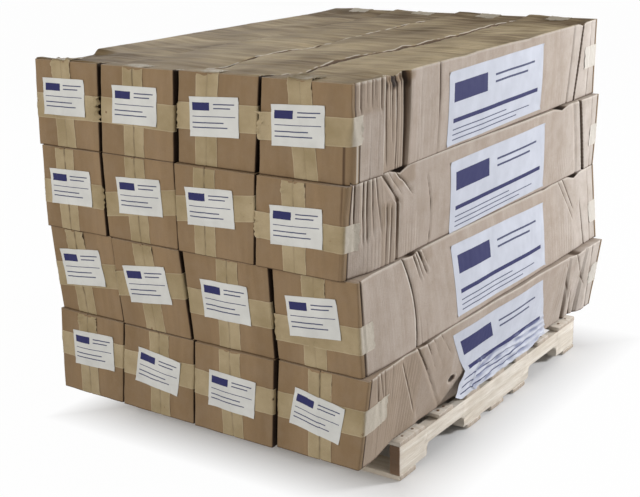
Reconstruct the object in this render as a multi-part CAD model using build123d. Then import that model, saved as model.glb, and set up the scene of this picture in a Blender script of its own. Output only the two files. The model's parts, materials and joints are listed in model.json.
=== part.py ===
"""Sixteen long cartons, four wide and four high, on a notched stringer pallet.

Millimetres. X runs across the cartons, +Y along them towards the rear, Z up.
The origin is on the floor under the middle of the pallet.
"""
import os

from build123d import *

# Pallet: 48 x 40 inch, boards nailed on three notched stringers
pallet_length = 1219.0
pallet_width = 1016.0
stringer_width = 38.0
stringer_height = 89.0
board_thickness = 16.0
lead_board_width = 140.0
deck_board_width = 89.0
bottom_board_width = 89.0
bottom_board_pitch = 160.0
notch_from_end = 152.0
notch_length = 229.0
notch_depth = 40.0
notch_radius = 22.0

# Load: slim cartons, all alike
carton_width = 276.0
carton_height = 261.0
carton_length = 1598.0
columns = 4
layers = 4
column_pitch = carton_width + 5.0
column_gap = 5.0
layer_gap = 0.3
edge_radius = 6.0
load_centre_x = -62.0
load_centre_y = -21.0
end_zone = 95.0

# Tape and labels
tape_width = 75.0
tape_thickness = 0.4
paper_seat = 0.25
bridge_gap = 0.1
tape_wrap = 66.0
label_thickness = 0.3
end_label_width = 167.0
end_label_height = 110.0
side_label_length = 626.0
side_label_height = 213.0
side_label_from_front = 510.0
peel_height = 30.0

deck_top = stringer_height + 2 * board_thickness
load_width = columns * column_pitch
front_y = load_centre_y - carton_length / 2
rear_y = load_centre_y + carton_length / 2

# How far the stack has slipped: the shift in X of the five column lines of each layer,
# at the floor and the roof of the layer, for the front and the rear ends.
front_floor_shift = [
    [8, -13, -6, 5, 3],
    [27, 11, 3, 19, 17],
    [-1, -26, -30, -35, -28],
    [-8, -28, -22, -24, -1],
]
front_roof_shift = [
    [20, 15, 13, 22, 42],
    [1, -16, -24, 7, 8],
    [4, -29, -29, -20, -7],
    [4, -9, -4, -1, 7],
]
rear_floor_shift = [
    [6, 2, -4, 4, 0],
    [-6, -10, 2, 6, 8],
    [4, 8, 0, -4, -14],
    [-4, 2, 6, 2, -24],
]
rear_roof_shift = [
    [2, -6, 0, 2, 41],
    [4, 2, -6, -4, -16],
    [-2, 4, 6, 0, -2],
    [2, 6, 2, 4, -20],
]
# The rise of the joint above each layer over its nominal height, front and rear
joint_rise_front = [0, 6, 9, 2, -1]
joint_rise_rear = [0, -6, 3, 1, 2]
# How far each end stands out from the mean end line of the stack, by layer and column
front_out = [[2, 5, 8, -4], [-4, 3, 0, -8], [4, 0, 6, 9], [0, 5, -5, -3]]
rear_out = [[4, 9, -6, -8], [0, 6, 8, 12], [6, -4, 2, 4], [5, 0, -7, 6]]
# The sag of each top carton between its stiff ends
top_sag = [14, 7, 6, 9]
# How far the pallet presses in the outer foot edges of the lowest cartons
foot_pinch = 22.0

# Each end label: its turn in degrees, its shift from the middle of the end and its rise over it
label_turn = [[2, -6, -2, -9], [6, 7, 1, 6], [2, 3, 3, 3], [1, 1, 3, 3]]
label_shift = [[12, 2, -1, -6], [-9, -8, -7, -7], [-5, 2, -12, -7], [-8, -5, -5, -20]]
label_rise = [[20, 8, 3, -1], [17, 9, 7, 14], [9, 13, 17, 4], [23, 21, 11, 12]]
# Each seam tape's shift at its foot and at its head
seam_foot = [[-18, -1, -4, -1], [-5, 14, -1, -2], [-20, -5, -38, -17], [-14, -15, -43, 3]]
seam_head = [[-6, 13, -5, 9], [-37, -22, -1, -4], [-22, -11, -27, -12], [-14, 0, -22, -10]]
# How far up the end each cross tape runs, as a share of the height
cross_share = [[0.58, 0.56, 0.54, 0.52], [0.48, 0.54, 0.47, 0.38],
               [0.46, 0.47, 0.56, 0.46], [0.48, 0.49, 0.54, 0.52]]
# Each side label's shift along its carton and its rise over the middle of the side
side_label_shift = [-15.0, 13.0, 19.0, -14.0]
side_label_rise = [-6.0, -7.0, -17.0, -11.0]


def stations(layer, col):
    """Y of the cross-sections of a carton: its ends, stiff end zones and creases."""
    front = front_y - front_out[layer][col]
    rear = rear_y + rear_out[layer][col]
    zones = (front_y + end_zone, rear_y - end_zone)
    creases = [-pallet_length / 2, pallet_length / 2]
    creases += [load_centre_y + carton_length * share for share in (-0.25, 0.0, 0.25)]
    between = sorted(y for y in creases if zones[0] + 1 < y < zones[1] - 1)
    return [front, zones[0], *between, zones[1], rear]


def along(y):
    """0 at the front end line, 1 at the rear end line."""
    return (y - front_y) / carton_length


def joint_z(level, y):
    """Height of the joint on top of a layer; level 0 is the pallet deck."""
    rise = joint_rise_front[level] + (joint_rise_rear[level] - joint_rise_front[level]) * along(y)
    return deck_top + level * carton_height + rise


def pinch(y):
    """How far an outer foot edge is pressed in: nothing in the stiff ends, all over the pallet."""
    share = 1.0
    for zone, pallet_end in ((front_y + end_zone, -pallet_length / 2), (rear_y - end_zone, pallet_length / 2)):
        overhang = max(1.0, abs(zone) - abs(pallet_end))
        share = min(share, (abs(zone) - abs(y)) / overhang if y * zone > 0 else 1.0)
    return foot_pinch * max(0.0, share)


def line_x(layer, line, y, roof):
    """X of a column line of a layer, at its floor or its roof."""
    front = (front_roof_shift if roof else front_floor_shift)[layer][line]
    rear = (rear_roof_shift if roof else rear_floor_shift)[layer][line]
    nominal = load_centre_x + (line - columns / 2) * column_pitch
    outer_foot = layer == 0 and line in (0, columns) and not roof
    inwards = 1 if line == 0 else -1
    pressed = inwards * pinch(y) if outer_foot else 0.0
    return nominal + front + (rear - front) * along(y) + pressed


def sag(layer, col, y):
    """How far the roof of a top carton hangs below its stiff ends."""
    if layer < layers - 1:
        return 0.0
    if y < front_y + 0.5 * end_zone or y > rear_y - 0.5 * end_zone:
        return 0.0
    return top_sag[col] * (0.6 if y < front_y + 2.5 * end_zone else 1.0)


def section(layer, col, y, grow=0.0, y_at=None):
    """Closed outline of a carton at y, moved outwards by grow, placed at y_at."""
    half = column_gap / 2 - grow
    low = joint_z(layer, y) + layer_gap - grow
    high = joint_z(layer + 1, y) - sag(layer, col, y) + grow
    corners = [
        (line_x(layer, col, y, False) + half, low),
        (line_x(layer, col + 1, y, False) - half, low),
        (line_x(layer, col + 1, y, True) - half, high),
        (line_x(layer, col, y, True) + half, high),
    ]
    plane = Plane(origin=(0, y if y_at is None else y_at, 0), x_dir=(1, 0, 0), z_dir=(0, -1, 0))
    face = make_face(Polyline(*corners, close=True))
    face = fillet(face.vertices(), edge_radius + grow)
    return plane * face


def carton(layer, col):
    """A closed carton: straight runs between its creases."""
    faces = [section(layer, col, y) for y in stations(layer, col)]
    return loft(faces, ruled=True)


def end_shell(layer, col, front, inner, outer):
    """The skin between two offsets around one end zone of a carton."""
    ys = stations(layer, col)
    end, zone = (ys[0], ys[1]) if front else (ys[-1], ys[-2])
    out = -1.0 if front else 1.0

    def block(grow):
        at_end = section(layer, col, end, grow, end + out * grow)
        at_zone = section(layer, col, zone, grow)
        return loft([at_end, at_zone] if front else [at_zone, at_end], ruled=True)

    return block(outer) - block(inner)


def end_middle(layer, col, front):
    """Left, right, floor, roof and Y of a carton end."""
    ys = stations(layer, col)
    y = ys[0] if front else ys[-1]
    left = (line_x(layer, col, y, False) + line_x(layer, col, y, True)) / 2
    right = (line_x(layer, col + 1, y, False) + line_x(layer, col + 1, y, True)) / 2
    return left, right, joint_z(layer, y), joint_z(layer + 1, y), y


def strip_on_end(foot_x, head_x, low, high, width, y, depth, out):
    """A leaning strip lying on a carton end, from low to high."""
    half = width / 2
    outline = Polyline((foot_x - half, low), (foot_x + half, low), (head_x + half, high),
                       (head_x - half, high), close=True)
    plane = Plane(origin=(0, y + out * paper_seat, 0), x_dir=(1, 0, 0), z_dir=(0, -1, 0))
    return extrude(plane * make_face(outline), amount=-out * depth)


def seam_tape(layer, col, front):
    """The strip down the flap seam of one carton end."""
    left, right, low, high, y = end_middle(layer, col, front)
    out = -1.0 if front else 1.0
    middle = (left + right) / 2
    lean = 1.0 if front else 0.3
    foot = middle + lean * seam_foot[layer][col]
    head = middle + lean * seam_head[layer][col]
    strip = strip_on_end(foot, head, low + 1.0, high - 1.0, tape_width, y, tape_thickness, out)
    if layer < layers - 1:
        return strip
    # on the top layer the strip is seen to run on over the roof edge
    middle_y = y - out * tape_wrap / 2
    over = Pos(head, middle_y, high) * Box(tape_width, tape_wrap + 2, 20)
    skin = end_shell(layer, col, front, paper_seat, paper_seat + tape_thickness)
    return strip + (skin & over)


def cross_tape(layer, col, front):
    """The strip across one carton end, bent onto both sides and over the seam tape."""
    left, right, low, high, y = end_middle(layer, col, front)
    out = -1.0 if front else 1.0
    share = cross_share[layer][col]
    z = low + (high - low) * share
    middle = (left + right) / 2
    lean = 1.0 if front else 0.3
    centre = middle + lean * (seam_foot[layer][col] * (1 - share) + seam_head[layer][col] * share)
    reach = 2 * carton_width
    band = Pos(middle, y - out * (tape_wrap / 2 - 2), z) * Box(reach, tape_wrap + 4, tape_width)
    skin = end_shell(layer, col, front, paper_seat, paper_seat + tape_thickness) & band
    # over the seam tape it steps out into a bridge with a leg on either side
    bridge_width = tape_width + 22.0
    leg = 3.0
    opening = Pos(centre, y, z) * Box(bridge_width - 2 * leg, 10, tape_width + 2)
    top = 2 * tape_thickness + bridge_gap
    bridge = Pos(centre, y + out * (paper_seat + top / 2), z) * Box(bridge_width, top, tape_width)
    under = Pos(centre, y + out * (paper_seat + (top - tape_thickness) / 2), z) * Box(
        bridge_width - 2 * leg, top - tape_thickness, tape_width + 2)
    return (skin - opening) + (bridge - under)


def end_label(layer, col):
    """The small label over both tapes on the front end."""
    left, right, low, high, y = end_middle(layer, col, True)
    x = (left + right) / 2 + label_shift[layer][col]
    z = (low + high) / 2 + label_rise[layer][col]
    sheet = Box(end_label_width, label_thickness, end_label_height)
    depth = y - paper_seat - 2 * tape_thickness - 2 * bridge_gap - label_thickness / 2
    return Pos(x, depth, z) * Rot(0, -label_turn[layer][col], 0) * sheet


def side_skin(layer, y0, y1, outer):
    """The last carton of a layer between y0 and y1, moved outwards by outer."""
    col = columns - 1
    inside = [y for y in stations(layer, col) if y0 < y < y1]
    return loft([section(layer, col, y, outer) for y in [y0, *inside, y1]], ruled=True)


def side_label(layer):
    """The large label on the right side of a layer, bent over that side's creases."""
    y0 = front_y + side_label_from_front + side_label_shift[layer]
    y1 = y0 + side_label_length
    low = joint_z(layer, load_centre_y)
    z1 = low + (carton_height + side_label_height) / 2 + side_label_rise[layer]
    z0 = z1 - side_label_height + (peel_height if layer == 0 else 0.0)
    x = line_x(layer, columns, load_centre_y, True)
    outer = side_skin(layer, y0, y1, paper_seat + label_thickness)
    skin = outer - side_skin(layer, y0 - 1, y1 + 1, paper_seat)
    sheet = skin & Pos(x, (y0 + y1) / 2, (z0 + z1) / 2) * Box(
        carton_width / 2, 2 * side_label_length, z1 - z0)
    if layer:
        return sheet
    return sheet + peeled_flap(layer, y0 + 6.0, y1 - 20.0, z0)


def peeled_flap(layer, y0, y1, z0):
    """The foot of the lowest label, off the board and curling out over the pallet edge."""

    def outline(y):
        low, high = joint_z(layer, y), joint_z(layer + 1, y)
        foot, head = line_x(layer, columns, y, False), line_x(layer, columns, y, True)
        face = foot + (head - foot) * (z0 - low) / (high - low) - column_gap / 2
        bottom = low + 4.0
        top = z0 + 1.0
        path = [(face + paper_seat + 0.1, top), (face + 5, z0 - 8), (face + 8, z0 - 24), (face + 17, bottom + 6),
                (face + 27, bottom)]
        back = [(px + label_thickness * 1.2, pz + 0.4 * (i > 2)) for i, (px, pz) in enumerate(path)]
        closed = Polyline(*path, *reversed(back), close=True)
        plane = Plane(origin=(0, y, 0), x_dir=(1, 0, 0), z_dir=(0, -1, 0))
        return plane * make_face(closed)

    inside = [y for y in stations(layer, columns - 1) if y0 < y < y1]
    return loft([outline(y) for y in [y0, *inside, y1]], ruled=True)


def stringer(x):
    """A board on edge with two rounded fork notches in its lower edge."""
    body = Pos(x, 0, board_thickness + stringer_height / 2) * Box(
        stringer_width, pallet_length, stringer_height)
    for side in (-1, 1):
        centre = side * (pallet_length / 2 - notch_from_end - notch_length / 2)
        outline = RectangleRounded(notch_length, 2 * notch_depth, notch_radius)
        cutter = Plane(origin=(x, centre, board_thickness), x_dir=(0, 1, 0), z_dir=(1, 0, 0)) * outline
        body -= extrude(cutter, amount=stringer_width, both=True)
    return body


def board(y, width, z_low):
    return Pos(0, y, z_low + board_thickness / 2) * Box(pallet_width, width, board_thickness)


def deck_centres():
    """Centres of the deck boards: wide ones at both ends, the rest evenly between."""
    inner = 5
    free = pallet_length - 2 * lead_board_width - inner * deck_board_width
    space = free / (inner + 1)
    lead = pallet_length / 2 - lead_board_width / 2
    first = -pallet_length / 2 + lead_board_width + space + deck_board_width / 2
    return [-lead] + [first + i * (deck_board_width + space) for i in range(inner)] + [lead]


def save(shape, name):
    export_step(shape, f"parts/{name}.step")


def group(solids):
    """Several solids that don't touch, as one shape."""
    return Compound(children=[solid for shape in solids for solid in shape.solids()])


def main():
    os.makedirs("parts", exist_ok=True)
    outer = pallet_width / 2 - stringer_width / 2
    for name, x in (("left", -outer), ("middle", 0.0), ("right", outer)):
        save(stringer(x), f"stringer_{name}")
    for i, y in enumerate(deck_centres()):
        width = lead_board_width if i in (0, 6) else deck_board_width
        save(board(y, width, board_thickness + stringer_height), f"deck_board_{i + 1}")
    end = pallet_length / 2 - bottom_board_width / 2
    for i, y in enumerate((-end, -bottom_board_pitch, 0.0, bottom_board_pitch, end)):
        save(board(y, bottom_board_width, 0.0), f"bottom_board_{i + 1}")

    for layer in range(layers):
        tag = f"layer{layer + 1}"
        for col in range(columns):
            save(carton(layer, col), f"carton_{tag}_col{col + 1}")
        for side, front in (("front", True), ("rear", False)):
            save(group([seam_tape(layer, c, front) for c in range(columns)]), f"{side}_seam_tape_{tag}")
            save(group([cross_tape(layer, c, front) for c in range(columns)]), f"{side}_cross_tape_{tag}")
        save(group([end_label(layer, c) for c in range(columns)]), f"front_label_{tag}")
        save(side_label(layer), f"side_label_{tag}")


main()
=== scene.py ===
# %% [markdown]
# This scene dresses a pallet load: long corrugated cartons, four wide and four high, lying on a
# notched wooden pallet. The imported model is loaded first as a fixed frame. It already holds every
# piece at its real size, but as plain solids, so each piece gets a surface here that has its
# creases, dents, torn paper and grain.

import json
import math

import bpy
import numpy as np
from mathutils import Matrix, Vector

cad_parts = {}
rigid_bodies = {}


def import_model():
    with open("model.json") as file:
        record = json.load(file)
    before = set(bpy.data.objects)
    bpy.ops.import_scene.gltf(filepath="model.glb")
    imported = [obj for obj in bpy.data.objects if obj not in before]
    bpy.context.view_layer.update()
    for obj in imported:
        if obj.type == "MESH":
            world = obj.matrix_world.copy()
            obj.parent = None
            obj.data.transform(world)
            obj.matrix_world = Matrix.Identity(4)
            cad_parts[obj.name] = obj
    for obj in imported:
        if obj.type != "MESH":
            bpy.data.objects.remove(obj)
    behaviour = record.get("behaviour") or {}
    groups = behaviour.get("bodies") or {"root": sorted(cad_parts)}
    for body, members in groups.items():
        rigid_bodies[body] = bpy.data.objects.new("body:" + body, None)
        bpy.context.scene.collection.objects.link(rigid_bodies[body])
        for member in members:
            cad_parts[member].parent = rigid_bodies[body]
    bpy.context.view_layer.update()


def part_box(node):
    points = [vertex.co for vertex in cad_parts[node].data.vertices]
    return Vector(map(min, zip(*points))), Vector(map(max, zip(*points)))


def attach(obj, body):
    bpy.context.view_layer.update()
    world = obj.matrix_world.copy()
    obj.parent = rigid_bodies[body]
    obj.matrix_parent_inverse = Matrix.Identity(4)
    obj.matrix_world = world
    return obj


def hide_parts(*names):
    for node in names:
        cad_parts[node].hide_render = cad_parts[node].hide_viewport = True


for leftover in list(bpy.data.objects):
    bpy.data.objects.remove(leftover)
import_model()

# %% [markdown]
# The stack has slipped a little, so no two cartons stand square. Rather than move cartons one by
# one, the column lines of each layer are given a shift at the floor and at the roof of the layer,
# for the front and for the rear ends, and everything else is read between those lines. The solids
# follow the same lines, so a surface made from them always lies on its solid.

# %% The lattice of the stack
MM = 0.001
COLUMNS = 4
LAYERS = 4
# The numbers of the top layer and of the column on the right
TOP, LAST = LAYERS - 1, COLUMNS - 1
CARTON_LENGTH = 1.598
CARTON_HEIGHT = 0.261
COLUMN_PITCH = 0.281
HALF_GAP = 0.0025
BOARD = 0.004
LOAD_X = -0.062
LOAD_Y = -0.021
FRONT_Y = LOAD_Y - CARTON_LENGTH / 2
DECK_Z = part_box("deck_board_1")[1][2]
# How far each column line is shifted in X, layer by layer, at the floor and the roof of the layer
FLOOR_FRONT = MM * np.array([[8, -13, -6, 5, 3], [27, 11, 3, 19, 17],
                             [-1, -26, -30, -35, -28], [-8, -28, -22, -24, -1]])
ROOF_FRONT = MM * np.array([[20, 15, 13, 22, 42], [1, -16, -24, 7, 8],
                            [4, -29, -29, -20, -7], [4, -9, -4, -1, 7]])
FLOOR_REAR = MM * np.array([[6, 2, -4, 4, 0], [-6, -10, 2, 6, 8],
                            [4, 8, 0, -4, -14], [-4, 2, 6, 2, -24]])
ROOF_REAR = MM * np.array([[2, -6, 0, 2, 41], [4, 2, -6, -4, -16],
                           [-2, 4, 6, 0, -2], [2, 6, 2, 4, -20]])
# How far each joint between layers stands above its regular height
RISE_FRONT = MM * np.array([0, 6, 9, 2, -1])
RISE_REAR = MM * np.array([0, -6, 3, 1, 2])
# How far each carton's ends stand out from the regular line
FRONT_OUT = MM * np.array([[2, 5, 8, -4], [-4, 3, 0, -8], [4, 0, 6, 9], [0, 5, -5, -3]])
REAR_OUT = MM * np.array([[4, 9, -6, -8], [0, 6, 8, 12], [6, -4, 2, 4], [5, 0, -7, 6]])
# How far each roof of the top layer sags in its middle
ROOF_SAG = MM * np.array([14, 7, 6, 9])
# How far each roof tilts down to its right at the rear end
ROOF_TILT = 13 * MM
# How far the lowest outer foot edges are pressed in, and the places where that starts and ends
FOOT_PINCH = 0.022
PINCH_AT = [0.095, 0.2105, 1.4295, 1.503]
# How far behind the front the gaps between columns stand open
OPEN_REACH = 0.5


def mix(a, b, share):
    """a where share is 0, b where it is 1, and straight between them."""
    return a + (b - a) * share


def column_x(layer, line, s, t):
    """X of a column line, s metres behind the front line and t of the way up its layer:
    the floor line and the roof line, each straight from front to rear, mixed by t. The lowest
    layer's outer foot edges are pressed in between the pallet's ends."""
    along = s / CARTON_LENGTH
    floor = mix(FLOOR_FRONT[layer][line], FLOOR_REAR[layer][line], along)
    roof = mix(ROOF_FRONT[layer][line], ROOF_REAR[layer][line], along)
    x = LOAD_X + (line - COLUMNS / 2) * COLUMN_PITCH + mix(floor, roof, t)
    if layer == 0 and line in (0, COLUMNS):
        pinch = np.interp(s, PINCH_AT, [0, 1, 1, 0]) * FOOT_PINCH
        x = x + pinch * (1 - t) * (1 if line == 0 else -1)
    return x


# How much wider than usual the gaps between columns stand open at the front ends, each side,
# by layer and inner column line, at the floor and at the roof
OPEN_FLOOR = MM * np.array([[0, 0.5, 0.5, 0, 0], [0, 1.5, 0, 0.5, 0],
                            [0, 0.5, 0.5, 1, 0], [0, 4.5, 1.5, 4.5, 0]])
OPEN_ROOF = MM * np.array([[0, 0, 0.5, 0.5, 0], [0, 0, 2.5, 1, 0], [0, 0.5, 0.5, 1, 0], [0, 6.5, 2, 2, 0]])
# How far the roof edges of the top layer wander sideways between their ends, and dip
DRIFT_AT = MM * np.array([0, 60, 125, 140, 182, 267, 361, 424, 570,
                          652, 722, 757, 864, 1061, 1301, 1500, 1598])
DRIFT = MM * np.array([[0] * 17, [0, 2, 6, 8, 10, 6, 2, 0, -3, -2, 2, 4, 2, 0, -3, -2, 0],
                       [0, 4, 20, 26, 30, 16, 6, 0, 7, 10, 6, 4, 0, -5, -14, -6, 0],
                       [0, 3, 8, 20, 24, 9, -5, -8, -4, 4, -2, 6, 5, 3, -9, -5, 0], [0] * 17])
# How far each roof edge beside a column line is rounded back from it
ROOF_GAP = MM * np.array([0, 1.5, 3.2, 2.2, 0])


def wall_x(layer, col, right, s, t):
    """X of a carton's side wall: its column line, half a gap inwards, a wider gap towards the
    front, and in the top layer the wandering of the roof edge, which grows with the square of t,
    and its rounding, which grows with the eighth power."""
    line, inwards = (col + 1, -1) if right else (col, 1)
    opened = mix(OPEN_FLOOR[layer][line], OPEN_ROOF[layer][line], t) * np.clip(1 - s / OPEN_REACH, 0, 1)
    x = column_x(layer, line, s, t) + inwards * (HALF_GAP + opened)
    if layer == TOP:
        high = np.clip(t, 0, 1)
        gape = np.interp(s, [0.05, 0.14, 1.0, 1.4], [0, 1, 0.6, 0]) * high ** 8
        x = x + np.interp(s, DRIFT_AT, DRIFT[line]) * high ** 2 + inwards * ROOF_GAP[line] * gape
    return x


def joint_z(level, s):
    """Height of the joint on top of a layer, level 0 being the pallet's deck."""
    return DECK_Z + level * CARTON_HEIGHT + mix(RISE_FRONT[level], RISE_REAR[level], s / CARTON_LENGTH)


def end_s(layer, col, front):
    """Where a carton's end stands, in metres behind the front line."""
    return -FRONT_OUT[layer][col] if front else CARTON_LENGTH + REAR_OUT[layer][col]


print("top of the load", round(float(joint_z(LAYERS, 0.0)), 3))

# %% [markdown]
# Cardboard never lies flat. Two kinds of shape are added to the flat walls. Waves are sums of a
# few plane waves with seeded random phases, which gives smooth, repeatable noise with no texture.
# Creases are lines with a sharp cross-section, as a fold in board has.

# %% Noise and crease formulas
def ramp(x, start, end):
    """Smooth step: 0 before start, 1 after end, 3c^2 - 2c^3 between."""
    c = np.clip((x - start) / (end - start), 0, 1)
    return c * c * (3 - 2 * c)


def between(x, rise_from, rise_to, fall_from, fall_to):
    """A smooth window: 0, then 1, then 0 again."""
    return ramp(x, rise_from, rise_to) * (1 - ramp(x, fall_from, fall_to))


def bell(x, width):
    """The bell curve exp(-(x / width)^2)."""
    return np.exp(-(x / width) ** 2)


def waves(u, v, seed, size_u, size_v, count=12):
    """Sum of count cosines, cos(2 pi (a u / size_u + b v / size_v) + phase), with a and b drawn
    from the normal distribution, scaled to unit strength."""
    rng = np.random.default_rng(seed)
    a, b = rng.normal(0, 1, count), rng.normal(0, 1, count)
    phase = rng.uniform(0, 2 * math.pi, count)
    total = 0.0
    for i in range(count):
        total = total + np.cos(2 * math.pi * (a[i] * u / size_u + b[i] * v / size_v) + phase[i])
    return total * math.sqrt(2 / count)


def across_fold(s, t, head, foot, bow, width):
    """Distance, in widths, from the line s = foot + (head - foot) t + 4 bow t (1 - t), which is
    in millimetres."""
    return (s / MM - mix(foot, head, t) - 4 * bow * t * (1 - t)) / width


def crease(s, t, head, foot, bow, push_head, push_foot, width, low=0.0, high=1.0):
    """A fold along such a line, seen between the heights low and high. Across it the push falls
    off as exp(-sqrt(d^2 + 0.03)), d being the distance: negative is a valley, positive a ridge."""
    d = across_fold(s, t, head, foot, bow, width)
    shown = between(t, low - 0.06, low + 0.03, high - 0.03, high + 0.06)
    return MM * mix(push_foot, push_head, t) * np.exp(-np.sqrt(d * d + 0.03)) * shown


# %% [markdown]
# The right side is the one that shows. Its creases are read off the real load, one list for each
# layer from the bottom up: where a fold meets the roof and the floor of the carton, how it bows,
# how far it pushes in or out at the head and the foot, and how wide it is.

# %% Folds of the long right side
# Broad folds, from front to rear: place at the head of the carton and at its foot, push at the
# head and at the foot, all in millimetres
RIGHT_FORMS = [
    [(0, 0, 0, 0), (50, 60, 2, 3), (62, 84, -1, 1), (150, 170, 2, 2), (198, 345, 2, 3), (208, 356, 0, 0),
     (266, 466, 3, 2), (276, 476, 1, 0), (285, 485, -2, -1), (290, 490, 2, 2), (310, 512, 1, 1),
     (600, 700, 0, 0), (1240, 1300, 0, 0), (1300, 1352, 3, 3), (1318, 1370, -1, -12), (1334, 1384, 2, 5),
     (1400, 1420, 3, 2), (1440, 1452, 2, 1), (1449, 1460, -4, -7), (1466, 1476, 2, 3), (1598, 1598, 0, 0)],
    [(0, 0, 0, 0), (10, 14, 0, 0), (28, 32, 2, 2), (150, 160, 3, 2), (240, 270, 5, 4), (246, 276, 5, 4),
     (330, 330, 1, 1), (600, 600, 0, 0), (1240, 1380, 0, 0), (1290, 1440, 3, 2), (1330, 1480, 0, 0),
     (1440, 1500, 2, 1), (1500, 1540, 1, 0), (1598, 1598, 0, 0)],
    [(0, 0, -4, -2), (12, 12, -5, -3), (44, 44, -3, -2), (100, 100, 1, 1), (160, 158, 5, 3),
     (204, 202, 8, 5), (217, 213, 9, 6), (221, 217, 0, 1), (228, 224, -6, -3), (239, 235, -7, -3),
     (243, 239, 3, 1), (260, 256, 4, 2), (300, 290, 2, 1), (600, 600, 0, 0), (1366, 1425, 1, 1),
     (1384, 1443, -2, -2), (1398, 1457, 2, 2), (1424, 1488, 2, 2), (1430, 1494, -7, -7),
     (1442, 1508, -8, -8), (1445, 1511, 3, 3), (1460, 1525, 3, 3), (1598, 1598, 0, 0)],
    [(0, 0, 0, 0), (18, 18, 0, 0), (60, 58, 1, 1), (110, 108, 5, 4), (138, 136, 9, 6), (146, 143, 10, 7),
     (150, 147, -2, 1), (160, 156, -6, -2), (190, 186, -7, -3), (240, 236, -9, -3), (262, 257, -11, -5),
     (269, 264, -11, -5), (281, 276, 4, 3), (292, 288, 5, 3), (325, 318, 2, 1), (600, 600, 0, 0),
     (1376, 1346, 1, 1), (1384, 1354, -3, -3), (1394, 1363, 2, 2), (1450, 1404, 3, 3),
     (1456, 1410, -7, -6), (1464, 1418, -8, -7), (1467, 1421, 3, 3), (1485, 1439, 3, 2),
     (1510, 1466, 2, 2), (1598, 1598, 0, 0)],
]
# Above this share of the height the folds of a layer lean forwards, by so many millimetres
FOLD_BEND = [(1.0, 0), (1.0, 0), (0.65, 210), (1.0, 0)]
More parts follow.
